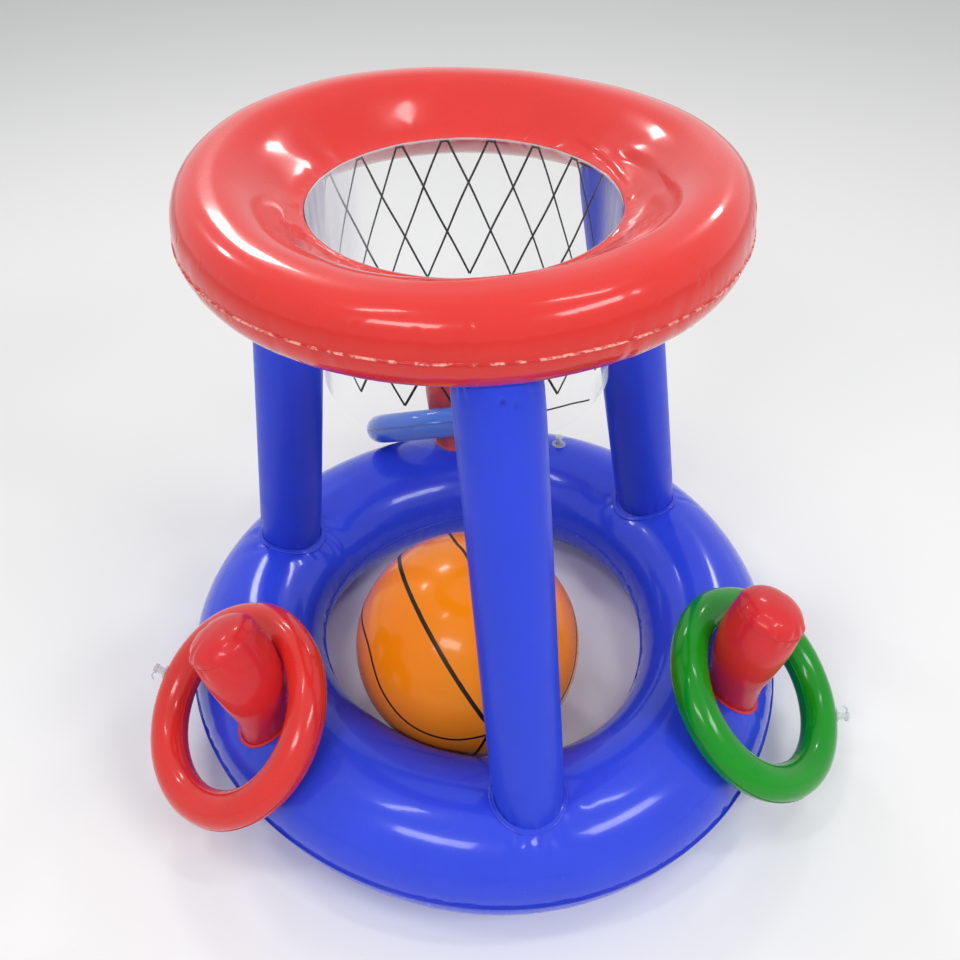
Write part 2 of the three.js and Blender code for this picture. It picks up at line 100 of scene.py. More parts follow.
def circle_about(
    centre: Array, axis: Array, radius: Union[float, Array], around: int, first: Optional[Array] = None
) -> Array:
    """Points of a circle about an axis.

    Args:
        centre: Middle of the circle.
        axis: Unit vector along its axis.
        radius: One radius, or one for each point.
        around: Number of points.
        first: Direction of the first point, square to the axis.

    Returns:
        Array of shape (around, 3).
    """
    u, v = square_to(axis) if first is None else (first, np.cross(axis, first))
    a = full_turn(around)
    r = np.broadcast_to(np.asarray(radius, float), (around,))
    return centre + (r * np.cos(a))[:, None] * u + (r * np.sin(a))[:, None] * v


def smooth_step(low: float, high: float, x: Array) -> Array:
    """Smooth rise from 0 at low to 1 at high."""
    t = np.clip((x - low) / (high - low), 0, 1)
    return t * t * (3 - 2 * t)


def bell(off: Array, width: Union[float, Array] = 1.0, power: float = 2) -> Array:
    """Smooth bell of height 1 about 0, with a flatter top the higher its power."""
    return np.exp(-((off / width) ** power))


def spline(points: Sequence[Sequence[float]], count: int) -> Array:
    """Smooth curve through points.

    Args:
        points: Control points, each a list of numbers.
        count: Number of points on the result.

    Returns:
        Array of shape (count, numbers per point).
    """
    p = np.asarray(points, float)
    p = np.vstack([2 * p[0] - p[1], p, 2 * p[-1] - p[-2]])
    t = np.linspace(0, len(points) - 1 - 1e-9, count)
    k = t.astype(int)
    f = (t - k)[:, None]
    a, b, c, d = p[k], p[k + 1], p[k + 2], p[k + 3]
    return 0.5 * (2 * b + (c - a) * f + (2 * a - 5 * b + 4 * c - d) * f**2 + (3 * b - a - 3 * c + d) * f**3)


def meet(clearance: Clearance, start: Array, way: Array, reach: float, gap: float) -> Array:
    """Slide points along a direction until they stand a gap clear of a surface.

    Args:
        clearance: Signed height of points over the surface.
        start: Points of shape (n, 3), all outside the surface.
        way: Direction of travel.
        reach: Longest travel.
        gap: Wanted height over the surface.

    Returns:
        The moved points.
    """
    near = np.zeros(len(start))
    far = np.full(len(start), reach)
    for _ in range(40):
        middle = (near + far) / 2
        clear = clearance(start + middle[:, None] * way) > gap
        near = np.where(clear, middle, near)
        far = np.where(clear, far, middle)
    return start + near[:, None] * way


# Creases and waves of inflated film


@dataclass(frozen=True)
class Creases:
    """Short creases that run off a weld into the film, with soft shoulders beside each."""

    JITTER = 0.42
    WIDTHS = (0.55, 1.5)
    DEPTHS = (0.15, 1.0)
    REACHES = (0.45, 1.35)
    SHALLOWING = 1.3
    SPREAD = 0.6
    SHOULDER_AT, SHOULDER_WIDE, SHOULDER_HIGH = 1.8, 0.9, 0.4

    count: int
    width: float
    depth: float
    reach: float
    seed: int
    start: float = 0.5
    slant: float = 0.3

    def field(self, angle: Array, radius: float, off: Array) -> Array:
        """Depth of the creases below the smooth film.

        Args:
            angle: Angles along the round weld, in radians.
            radius: The weld's radius.
            off: Distance from the weld.

        Returns:
            Depth in mm, with the shape that angle and off have together.
        """
        dice = np.random.default_rng(self.seed)
        along, length = angle * radius, 2 * np.pi * radius
        away = off - self.start
        begun = smooth_step(-1.2, 0.8, away)
        total = np.zeros(np.broadcast_shapes(along.shape, off.shape))
        for k in range(self.count):
            place = (k + dice.uniform(-self.JITTER, self.JITTER)) * length / self.count
            width = self.width * dice.uniform(*self.WIDTHS)
            depth = self.depth * dice.uniform(*self.DEPTHS) ** self.SHALLOWING
            reach = self.reach * dice.uniform(*self.REACHES)
            slant = dice.uniform(-self.slant, self.slant)
            gap = (along - place - slant * away + length / 2) % length - length / 2
            widened = width * (1 + self.SPREAD * np.clip(away / reach, 0, 2))
            groove = bell(gap, widened)
            shoulder = bell(np.abs(gap) - self.SHOULDER_AT * widened, self.SHOULDER_WIDE * widened)
            fade = bell(np.clip(away, 0, None), reach) * begun
            total += depth * fade * (groove - self.SHOULDER_HIGH * shoulder)
        return total


@dataclass(frozen=True)
class Waves:
    """Slow swells of film round a closed form."""

    SKEW = 1.2

    size: float
    counts: tuple[int, ...]
    seed: int

    def field(self, angle: Array, second: Union[float, Array] = 0.0) -> Array:
        """Height of the swells at angles in radians; second shifts them along another direction."""
        dice = np.random.default_rng(self.seed)
        total = 0.0
        for n in self.counts:
            phase, skew = dice.uniform(0, 2 * np.pi), dice.uniform(-self.SKEW, self.SKEW)
            total = total + np.sin(n * angle + phase + skew * second) / math.sqrt(n)
        return self.size * total


# Meshes


def grid_faces(rows: int, columns: int, closed: bool) -> Array:
    """Quads of a grid of points that closes along its columns, and along its rows if asked."""
    a, b = np.meshgrid(np.arange(rows if closed else rows - 1), np.arange(columns), indexing="ij")
    a2, b2 = (a + 1) % rows, (b + 1) % columns
    quads = [a * columns + b, a * columns + b2, a2 * columns + b2, a2 * columns + b]
    return np.stack(quads, -1).reshape(-1, 4)


def grid_normals(grid: Array, core: Array) -> Array:
    """Unit normals of a grid that is closed along its columns, turned away from a core."""
    down = np.gradient(grid, axis=0)
    round_about = np.roll(grid, -1, 1) - np.roll(grid, 1, 1)
    normal = np.cross(down, round_about)
    size = np.linalg.norm(normal, axis=2, keepdims=True)
    away = grid - core
    fallback = away / np.maximum(np.linalg.norm(away, axis=2, keepdims=True), 1e-9)
    normal = np.where(size > 1e-9, normal / np.maximum(size, 1e-9), fallback)
    return normal * np.where((normal * away).sum(2, keepdims=True) < 0, -1, 1)


@dataclass
class Skin:
    """Grid of points round a core, with the value of its welds (which also carries painted glare and painted
    shade), ready to be turned into a piece.
    """

    grid: Array
    core: Array
    weld: Union[Array, float, None] = None
    closed: bool = False
    open_faces: Optional[Array] = None

    def __post_init__(self) -> None:
        """Spread the core, and the welds' value if there is one, over all points."""
        self.core = np.broadcast_to(self.core, self.grid.shape).copy()
        if self.weld is not None:
            self.weld = np.broadcast_to(self.weld, self.grid.shape[:2]).copy()

    def press(self, depth: Array) -> "Skin":
        """Push the skin in along its own normals by a depth in mm."""
        self.grid = self.grid - grid_normals(self.grid, self.core) * depth[..., None]
        return self

    def pierce(self, seat: Array, axis: Array, radius: float = 4.4) -> None:
        """Open the faces round a valve's axis, where its stem goes through."""
        off = self.grid.reshape(-1, 3)[self.faces()].mean(1) - seat
        along = off @ axis
        across = np.linalg.norm(off - along[:, None] * axis, axis=1)
        self.open_faces = (across < radius) & (np.abs(along) < 2 * radius)

    def faces(self) -> Array:
        """All the quads of the grid."""
        return grid_faces(*self.grid.shape[:2], self.closed)

    def mesh(self, name: str) -> bpy.types.Mesh:
        """Smooth Blender mesh of the skin, in metres, with outward faces."""
        points = self.grid.reshape(-1, 3)
        quads = self.faces()
        a, b, c, d = (points[quads[:, k]] for k in range(4))
        out = (a + b + c + d) / 4 - self.core.reshape(-1, 3)[quads].mean(1)
        if (np.cross(c - a, d - b) * out).sum() < 0:
            quads = quads[:, ::-1]
        if self.open_faces is not None:
            quads = quads[~self.open_faces]
        kept, quads = np.unique(quads, return_inverse=True)
        quads = quads.reshape(-1, 4)
        mesh = bpy.data.meshes.new(name)
        mesh.from_pydata(((points[kept] + RING_MIDDLE) * MM).tolist(), [], quads.tolist())
        mesh.polygons.foreach_set("use_smooth", [True] * len(mesh.polygons))
        if self.weld is not None:
            attribute = mesh.attributes.new("weld", "FLOAT", "POINT")
            attribute.data.foreach_set("value", self.weld.reshape(-1)[kept].astype(np.float32))
        mesh.update()
        return mesh


def join_meshes(name: str, parts: Iterable[bpy.types.Mesh]) -> bpy.types.Mesh:
    """One mesh of several, which are removed."""
    made = bmesh.new()
    for part in list(parts):
        made.from_mesh(part)
        bpy.data.meshes.remove(part)
    mesh = bpy.data.meshes.new(name)
    made.to_mesh(mesh)
    made.free()
    mesh.polygons.foreach_set("use_smooth", [True] * len(mesh.polygons))
    return mesh


def add_object(name: str, data: bpy.types.ID) -> bpy.types.Object:
    """New object of a mesh, lamp or camera in the scene."""
    made = bpy.data.objects.new(name, data)
    bpy.context.scene.collection.objects.link(made)
    return made


def place(
    mesh: bpy.types.Mesh, body: str, material: bpy.types.Material, slot: str, replaces: Sequence[str] = ()
) -> bpy.types.Object:
    """Put a mesh in the scene as a piece of the object.

    Args:
        mesh: The piece's mesh, named as the piece.
        body: Body that it rides on.
        material: Its finish.
        slot: Material slot of the record; not used.
        replaces: Solids that it stands for.

    Returns:
        The piece.
    """
    piece = add_object(mesh.name, mesh)
    mesh.materials.append(material)
    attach(piece, body)
    if replaces:
        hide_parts(*replaces)
    LOG.info("%s: %d points on %s", piece.name, len(mesh.vertices), body)
    return piece


def rounded(profile: Sequence[tuple[float, float]], radius: float) -> Array:
    """Open profile with its inner corners rounded.

    Args:
        profile: Points of radius and distance along the axis.
        radius: Size of the rounding, less where a side is short.

    Returns:
        Array of shape (n, 2).
    """
    steps, share = 4, 0.45
    p = np.asarray(profile, float)
    out = [p[0]]
    for before, at, after in zip(p[:-2], p[1:-1], p[2:]):
        a, b = before - at, after - at
        r = min(radius, share * np.linalg.norm(a), share * np.linalg.norm(b))
        first, last = at + unit(a) * r, at + unit(b) * r
        for t in np.linspace(0, 1, steps + 1):
            out.append((1 - t) ** 2 * first + 2 * t * (1 - t) * at + t * t * last)
    out.append(p[-1])
    return np.array(out)


def lathe(origin: Array, axis: Array, profile: Array, around: int = 40, closed: bool = False) -> Skin:
    """Skin turned about an axis from a profile of radius and distance."""
    rows = [circle_about(origin + axis * s, axis, r, around) for r, s in profile]
    inside, level = profile.mean(0)
    core = circle_about(origin + axis * level, axis, inside if closed else 1e-4, around)
    return Skin(np.array(rows), core, closed=closed)


def collar(
    clearance: Clearance,
    centre: Array,
    axis: Array,
    stations: Sequence[tuple[float, float]],
    gap: float = 0.05,
    around: int = 96,
    side: int = 1,
    weld: Optional[float] = None,
) -> Skin:
    """Skin that follows a film round a tube or a valve.

    Args:
        clearance: Height over the film.
        centre: Point where the tube's axis meets the film.
        axis: The tube's axis.
        stations: Radius of each row and its height over the film, above the gap.
        gap: Least height over the film.
        around: Points in each row.
        side: 1 where the axis points away from the film, -1 where it points into it.
        weld: Value that the mesh keeps for its welds, if any.

    Returns:
        The skin, open towards the film.
    """
    up = axis * side
    rows = []
    for radius, lift in stations:
        start = circle_about(centre + up * ABOVE, axis, radius, around)
        rows.append(meet(clearance, start, -up, REACH, gap) + up * lift)
    return Skin(np.array(rows), centre - up * ABOVE / 2, weld)


def ribbon(path: Array, up: Array, width: float, thick: float) -> Skin:
    """Flat strap along a path.

    Args:
        path: Points along the middle of the strap's foot.
        up: Unit directions out of the surface that it lies on.
        width: Width of the strap.
        thick: Its thickness over the path.

    Returns:
        The strap's skin, a flattened tube.
    """
    side = unit(np.cross(np.gradient(path, axis=0), up))
    corners = [(-0.5, 0.0), (-0.46, 0.8), (-0.3, 1.0), (0.3, 1.0), (0.46, 0.8), (0.5, 0.0)]
    rows = np.stack([path + side * (w * width) + up * (h * thick) for w, h in corners], 1)
    return Skin(rows, (path + up * (thick * 0.3))[:, None])


# Shader maths

Value = Union["Sock", float, Sequence[float]]


class Sock:
    """Output socket of a shader that takes part in Python sums."""

    def __init__(self, tree: "Nodes", socket: bpy.types.NodeSocket) -> None:
        """Wrap a socket of a node tree."""
        self.tree = tree
        self.socket = socket

    def math(self, operation: str, *values: Value) -> "Sock":
        """Math node of an operation on values."""
        return self.tree.node("ShaderNodeMath", {"operation": operation}, dict(enumerate(values)))

    def __add__(self, other: Value) -> "Sock":
        """Sum."""
        return self.math("ADD", self, other)

    __radd__ = __add__

    def __sub__(self, other: Value) -> "Sock":
        """Difference."""
        return self.math("SUBTRACT", self, other)

    def __rsub__(self, other: Value) -> "Sock":
        """Difference from a number."""
        return self.math("SUBTRACT", other, self)

    def __mul__(self, other: Value) -> "Sock":
        """Product."""
        return self.math("MULTIPLY", self, other)

    __rmul__ = __mul__

    def between(self, low: float, high: float) -> "Sock":
        """The value mapped from low and high to 0 and 1, and held there."""
        return self.tree.node("ShaderNodeMapRange", {"clamp": True}, {0: self, 1: low, 2: high})


class Nodes:
    """Node tree whose nodes are made from Python expressions."""

    def __init__(self, owner: Union[bpy.types.Material, bpy.types.World], main: str) -> None:
        """Use the node tree of a material or a world; main is the type of its own shader node."""
        owner.use_nodes = True
        self.tree = owner.node_tree
        self.main = next(n for n in self.tree.nodes if n.type == main)

    def node(self, kind: str, settings: dict, inputs: dict, output: Union[int, str] = 0) -> Sock:
        """Add any node.

        Args:
            kind: The node's type.
            settings: Its properties, which are set first.
            inputs: Values or links by socket name or number.
            output: Socket to give back.

        Returns:
            The wrapped output socket.
        """
        made = self.tree.nodes.new(kind)
        for name, value in settings.items():
            setattr(made, name, value)
        for name, value in inputs.items():
            self.feed(made.inputs[name], value)
        return Sock(self, made.outputs[output])

    def feed(self, socket: bpy.types.NodeSocket, value: Value) -> None:
        """Link or set one input."""
        if isinstance(value, Sock):
            self.tree.links.new(value.socket, socket)
        else:
            socket.default_value = value

    def out(self, socket: str, value: Value) -> None:
        """Feed a socket of the tree's own shader node."""
        self.feed(self.main.inputs[socket], value)


class Shader(Nodes):
    """Material with one Principled shader."""

    def __init__(self, name: str, **surface: float) -> None:
        """Start a material; surface gives constants of the Principled shader's sockets."""
        self.material = bpy.data.materials.new(name)
        super().__init__(self.material, "BSDF_PRINCIPLED")
        for socket, value in surface.items():
            self.out(socket.replace("_", " "), value)
        self.place = self.node("ShaderNodeTexCoord", {}, {}, "Object")

    def noise(self, scale: float, detail: float = 2.0, stretch: Sequence[float] = (1, 1, 1)) -> Sock:
        """Noise over the object's own space; scale is per metre."""
        spread = self.node("ShaderNodeVectorMath", {"operation": "MULTIPLY"}, {0: self.place, 1: stretch})
        inputs = {"Vector": spread, "Scale": scale, "Detail": detail}
        return self.node("ShaderNodeTexNoise", {}, inputs, "Fac")

    def weld(self) -> Sock:
        """The value that a mesh keeps for its welds, its milky patches with painted glare, and its painted
        shade in dents and under peg crowns.
        """
        return self.node("ShaderNodeAttribute", {"attribute_name": "weld"}, {}, "Fac")

    def blend(self, factor: Value, first: Value, second: Value) -> Sock:
        """Mix of two colours."""
        return self.node("ShaderNodeMix", {"data_type": "RGBA"}, {0: factor, 6: first, 7: second}, 2)

    def bump(self, height: Value, depth_mm: float, strength: float) -> None:
        """Give the surface a relief of a depth in millimetres."""
        inputs = {"Height": height, "Distance": depth_mm * MM, "Strength": strength}
        self.out("Normal", self.node("ShaderNodeBump", {}, inputs))


def linear(code: str) -> tuple[float, float, float, float]:
    """Linear colour of a hexadecimal display colour."""
    parts = [int(code[k : k + 2], 16) / 255 for k in (0, 2, 4)]
    return (*(c / 12.92 if c <= 0.04045 else ((c + 0.055) / 1.055) ** 2.4 for c in parts), 1.0)


class Gloss(Enum):
    """How a film was rolled."""

    BRIGHT = (0.24, 0.08)
    SOFT = (0.36, 0.1)

    @property
    def roughness(self) -> float:
        """Roughness of the film itself."""
        return self.value[0]

    @property
    def haze(self) -> float:
        """How much the roughness varies."""
        return self.value[1]


@dataclass(frozen=True)
class Vinyl:
    """Coloured inflatable film: even gloss, faint haze, rolled grain, darker welds, painted shade in dents
    and, where given, painted glints dashed along the welds.
    """

    name: str
    colour: str
    deep: str
    gloss: Gloss = Gloss.BRIGHT
    coat: float = 0.5
    weld_shade: float = 0.75
    seam_glint: str = ""

    def make(self) -> bpy.types.Material:
        """The film's material."""
        coat = {"Coat_Weight": self.coat, "Coat_Roughness": 0.085, "Coat_IOR": 1.4}
        shader = Shader(self.name, Specular_IOR_Level=0.15, **coat)
        weld = shader.weld()
        drift = shader.noise(14, 3).between(0.3, 0.75)
        cloud = shader.noise(60, 4).between(0.35, 0.7)
        ripple = shader.noise(95, 3, (1, 1, 0.6))
        film = shader.blend(drift * 0.45 + cloud * 0.15, linear(self.colour), linear(self.deep))
        # Welds are darker; the same value also carries painted shade in dents and under the peg crowns.
        dark = tuple(c * self.weld_shade for c in linear(self.deep)[:3])
        film = shader.blend(weld * 0.8, film, (*dark, 1.0))
        # Light dashes along the weld in the seam_glint colour: painted glints where the lip catches the
        # light.
        if self.seam_glint:
            glint_dashes = shader.noise(120, 1).between(0.44, 0.52) * shader.noise(420, 2).between(0.36, 0.56)
            film = shader.blend(glint_dashes * weld.between(0.45, 0.85) * 0.8, film, linear(self.seam_glint))
        shader.out("Base Color", film)
        shader.out("Roughness", self.gloss.roughness + self.gloss.haze * (cloud - 0.4) + weld * 0.12)
        crimp = shader.noise(420, 2)
        shader.bump(ripple * 0.3 + weld * crimp * 1.6, 0.5, 0.3)
        return shader.material


@dataclass(frozen=True)
class ClearVinyl:
    """Clear film or clear moulded vinyl."""

    name: str
    colour: str
    cover: float
    roughness: float
    thick: bool

    def make(self) -> bpy.types.Material:
        """The clear material."""
        shader = Shader(self.name, Specular_IOR_Level=0.6, IOR=1.46, Coat_Weight=0.3, Coat_Roughness=0.05)
        streak = shader.noise(28, 3, (1, 1, 0.35)).between(0.35, 0.7)
        fine = shader.noise(700, 2)
        shader.out("Base Color", shader.blend(streak * 0.4, linear(self.colour), (0.95, 0.96, 0.97, 1.0)))
        shader.out("Roughness", self.roughness + 0.08 * streak)
        haze = (0.1 if self.thick else 0.05) * streak
        # The weld value makes the film whiter and less clear: milky crumples with painted glare.
        shader.out("Alpha", self.cover + haze + shader.weld() * (0.76 + 0.2 * streak))
        shader.bump(streak + fine * 0.15, 0.6 if self.thick else 1.0, 0.4)
        return shader.material


@dataclass(frozen=True)
class Ink:
    """Printed line: near black with a slight sheen and thin spots."""

    name: str
    colour: str

    def make(self) -> bpy.types.Material:
        """The ink's material."""
        shader = Shader(self.name, Specular_IOR_Level=0.25)
        thin = shader.noise(420, 3).between(0.45, 0.8)
        shader.out("Base Color", shader.blend(thin * 0.35, linear(self.colour), linear("2c2825")))
        shader.out("Roughness", 0.34 + 0.16 * thin)
        shader.bump(shader.noise(1800, 2), 0.05, 0.4)
        return shader.material


@dataclass(frozen=True)
class Floor:
    """Plain pale floor that keeps the object's shadow."""

    colour: str = "f4f4f2"

    def make(self) -> bpy.types.Material:
        """The floor's material."""
        shader = Shader("pale_floor", Specular_IOR_Level=0.2, Roughness=0.75)
        cloud = shader.noise(1.4, 3).between(0.3, 0.7)
        shader.out("Base Color", shader.blend(cloud * 0.25, linear(self.colour), linear("f0f0ef")))
        shader.out("Roughness", 0.7 + 0.08 * cloud)
        return shader.material


class Wardrobe:
    """All the finishes, each made once."""

    def __init__(self) -> None:
        """Make every material."""
        self.base_blue = Vinyl("base_blue_vinyl", "2f48e0", "283fd0").make()
        self.leg_blue = Vinyl("leg_blue_vinyl", "2f48dc", "2940cb", Gloss.SOFT, 0.08).make()
        # The hoop's last colour is a painted glint, dashed along its outer seam.
        self.red_film = Vinyl("hoop_red_vinyl", "dc302a", "cf2823", Gloss.BRIGHT, 0.65, 1.0, "ffc4b0").make()
        self.peg_red = Vinyl("peg_red_vinyl", "dc2c30", "cd252a", Gloss.SOFT, 0.45, 0.9).make()
        self.toss_red = Vinyl("toss_red_vinyl", "e0312b", "d12825", Gloss.BRIGHT, 0.65, 0.95).make()
        self.toss_green = Vinyl("toss_green_vinyl", "009416", "007e12", Gloss.BRIGHT, 0.5, 0.9).make()
        self.toss_blue = Vinyl("toss_blue_vinyl", "3d73da", "3163cb").make()
        self.ball_orange = Vinyl("ball_orange_vinyl", "ff9009", "ff8405", Gloss.BRIGHT, 0.35, 0.9).make()
        self.clear_film = ClearVinyl("clear_film", "d6dae0", 0.05, 0.12, False).make()
        # Whitish edge film: a thicker hem, whitened with painted glare along the mouth's seam.
        self.clear_edge_glare = ClearVinyl("clear_edge_glare", "f7f8f9", 0.3, 0.2, True).make()
        self.clear_soft = ClearVinyl("clear_soft_vinyl", "dfe6ea", 0.42, 0.14, True).make()
        self.ball_ink = Ink("ball_ink", "1d120c").make()
        self.net_ink = Ink("net_ink", "101110").make()


# Inflated rings


@dataclass(frozen=True)
class Bulge:
    """Form of one sheet: its crest's level, how full its outer side is and the power of its inner slope."""

    peak: float
    full: float = 2.0
    slope: float = 0.0


@dataclass(frozen=True)
class Fold:
    """Shallow fold that runs round a sheet along points of azimuth in degrees and distance from the axis."""

    ENDS = 12.0
    COLLAR_AT, COLLAR_HIGH = 1.7, 0.7

    points: tuple[tuple[float, float], ...]
    depth: float
    width: float

    def field(self, angle: Array, r: Array) -> Array:
        """Depth of the fold, with a soft collar on its outer side."""
        azimuths, distances = np.array(self.points).T
        start, end = azimuths[0], azimuths[-1]
        degrees = (np.degrees(angle) - start) % 360 + start
        off = (r - np.interp(degrees, azimuths, distances)) / self.width
        rise = smooth_step(start, start + self.ENDS, degrees)
        fall = smooth_step(end - self.ENDS, end, degrees)
        return self.depth * rise * (1 - fall) * (bell(off) - self.COLLAR_HIGH * bell(off - self.COLLAR_AT))


@dataclass
class InflatedRing:
    """Ring welded from two flat sheets and blown up: its section, its lips and its creases."""

    EVENLY = 0.35
    SWAY_REACH = 5
    LIP_CUT = 0.08
    INNER_WELD_WIDE = 1.1
    OUTER_LIP = ((1.0, 0), (1.0, 1), (0.35, 1))
    INNER_LIP = ((0.4, 1), (1.0, 1), (1.0, 0))

    crest: float
    out_half: float
    in_half: float
    out_seam: float
    in_seam: float
    upper: Bulge
    lower: Bulge
    ripple: Waves
    around: int
    rows: int
    outer_creases: tuple[Creases, ...]
    inner_creases: tuple[Creases, ...]
    floor: float = -math.inf
    out_lip: float = 2.0
    in_lip: float = 1.5
    lean: tuple[float, float] = (0.0, 0.0)
    drift: tuple[tuple[float, float], ...] = ()
    swell: tuple[tuple[float, float], ...] = ()
    folds: tuple[Fold, ...] = ()
    lip_wave: float = 0.15
    weld_wide: float = 1.1
    inner_weld: float = 0.4
    calm: float = 14.0

    @property
    def centre(self) -> Array:
        """Foot of the ring's axis."""
        return np.array([*self.lean, 0.0])

    @staticmethod
    def waves(pairs: Sequence[tuple[float, float]], azimuth: Array) -> Array:
        """Sum of the waves round the ring, from pairs for the cosine and the sine."""
        terms = [c * np.cos(k * azimuth) + s * np.sin(k * azimuth) for k, (c, s) in enumerate(pairs, 1)]
        return np.zeros(np.shape(azimuth)) + sum(terms)

    def bulge(self, side: int) -> Bulge:
        """Form of the upper (1) or the lower (-1) sheet."""
        return self.upper if side > 0 else self.lower

    def peak(self, side: int, azimuth: Array) -> Array:
        """Level of a sheet's crest at azimuths in radians."""
        return self.bulge(side).peak + self.waves(self.swell if side > 0 else (), azimuth)

    def level(self, side: int, r: Array, azimuth: Array) -> Array:
        """Level of a sheet at distances from the ring's axis and azimuths in radians."""
        form = self.bulge(side)
        off = r - self.waves(self.drift, azimuth) - self.crest
        outer = off > 0
        u = np.clip(np.abs(off) / np.where(outer, self.out_half, self.in_half), 0, 1)
        seam = np.where(outer, self.out_seam, self.in_seam)
        share = (1 - u**form.full) ** (1 / form.full)
        if form.slope:
            share = np.where(outer, share, np.cos(u * np.pi / 2) ** form.slope)
        return seam + (self.peak(side, azimuth) - seam) * share

    def height_over(self, side: int, p: Array) -> Array:
        """Signed height of points over the upper (1) or under the lower (-1) sheet."""
        x, y = p[:, 0] - self.lean[0], p[:, 1] - self.lean[1]
        return side * (p[:, 2] - self.level(side, np.hypot(x, y), np.arctan2(y, x)))

    def clearance(self, side: int) -> Clearance:
        """The function that gives the height of points over a sheet."""
        return partial(self.height_over, side)

    def section(self, side: int, angle: Array) -> tuple[Array, Array, Array, Array]:
        """Stations of the section round the ring.

        Args:
            side: 1 for the upper sheet, -1 for the lower.
            angle: Azimuths in radians.

        Returns:
            Radius, level, and the distances from the outer and the inner seam.
        """
        form = self.bulge(side)
        even = np.linspace(0, 1, self.rows)
        eased = 0.5 - 0.5 * np.cos(np.pi * even)
        a = (np.pi * (self.EVENLY * even + (1 - self.EVENLY) * eased))[:, None]
        middle = self.crest + self.waves(self.drift, angle)[None]
        peak = self.peak(side, angle)[None]
        c, s = np.cos(a), np.clip(np.sin(a), 0, 1)
        power = 2 / form.full
        outer = a <= np.pi / 2
        out_rise, in_rise = peak - self.out_seam, peak - self.in_seam
        r = np.where(outer, middle + self.out_half * np.clip(c, 0, 1) ** power, middle + self.in_half * c)
        z = np.where(outer, self.out_seam + out_rise * s**power, self.in_seam + in_rise * s)
        if form.slope:
            r = np.where(outer, r, middle - self.in_half * (a / (np.pi / 2) - 1))
            z = np.where(outer, z, self.in_seam + in_rise * s**form.slope)
        steps = np.hypot(np.diff(r, axis=0), np.diff(z, axis=0))
        run = np.concatenate([np.zeros((1, self.around)), np.cumsum(steps, 0)])
        return r, z, run, run[-1] - run

    def crease_depth(self, angle: Array, off_out: Array, off_in: Array, seed: int) -> Array:
        """Depth of all the creases that run off the two seams."""
        depth = np.zeros(off_out.shape)
        edges = (
            (self.outer_creases, self.crest + self.out_half, off_out, 7),
            (self.inner_creases, self.crest - self.in_half, off_in, 11),
        )
        for kinds, radius, off, shift in edges:
            for k, creases in enumerate(kinds):
                drawn = replace(creases, seed=creases.seed + seed + shift * k)
                depth += drawn.field(angle[None], radius, off)
        return depth

    def sheet(self, side: int, seed: int) -> Skin:
        """One sheet of the ring with its lips.

        Args:
            side: 1 for the upper sheet, -1 for the lower.
            seed: Shifts the creases of this sheet from the other's.

        Returns:
            The sheet's skin, from the outer lip's edge over the film to the inner lip's edge.
        """
        angle = full_turn(self.around)
        r, z, off_out, off_in = self.section(side, angle)
        middle = self.crest + self.waves(self.drift, angle)
        grid = self.turn(r, z, angle)
        kern = self.turn(np.broadcast_to(middle, r.shape), (self.out_seam + self.in_seam) / 2, angle)
        depth = self.crease_depth(angle, off_out, off_in, seed)
        free = smooth_step(0, self.calm, off_out) * smooth_step(0, self.calm, off_in)
        depth -= free * self.ripple.field(angle[None], off_out / 30)
        if side > 0:
            depth += sum(fold.field(angle[None], r) for fold in self.folds)
        skin = Skin(grid, kern).press(depth)
        sway = self.lip_wave * Waves(1.0, (17, 29, 46), 9).field(angle)
        skin.grid[..., 2] += sway[None] * bell(off_out, self.SWAY_REACH)
        edge = self.out_lip * (1 + self.LIP_CUT * Waves(1.0, (23, 41, 67), 5).field(angle))
        out_rim, in_rim = middle + self.out_half, middle - self.in_half
        top = side * LIP_THICK
        rows_out, rows_in = (
            [self.turn(rim + share * lip, seam + lift * top, angle) for share, lift in stations]
            for rim, lip, seam, stations in (
                (out_rim, edge, self.out_seam + sway, self.OUTER_LIP),
                (in_rim, -self.in_lip, self.in_seam, self.INNER_LIP),
            )
        )
        skin.grid = np.concatenate([np.stack(rows_out), skin.grid, np.stack(rows_in)])
        extra = np.repeat(kern[:1], 3, 0)
        skin.core = np.concatenate([extra, kern, extra])
        lips = np.ones((3, self.around))
        inner = self.inner_weld * bell(off_in, self.INNER_WELD_WIDE)
        welds = np.maximum(bell(off_out, self.weld_wide), inner)
        skin.weld = np.concatenate([lips, welds, self.inner_weld * lips])
        if self.floor > -math.inf:
            skin.grid[..., 2] = np.maximum(skin.grid[..., 2], self.floor)
        return skin

    def turn(self, r: Array, z: Union[float, Array], angle: Array) -> Array:
        """Points at distances from the ring's axis and levels, at angles round it."""
        x = r * np.cos(angle) + self.lean[0]
        y = r * np.sin(angle) + self.lean[1]
        return np.stack([x, y, np.broadcast_to(z, x.shape)], -1)


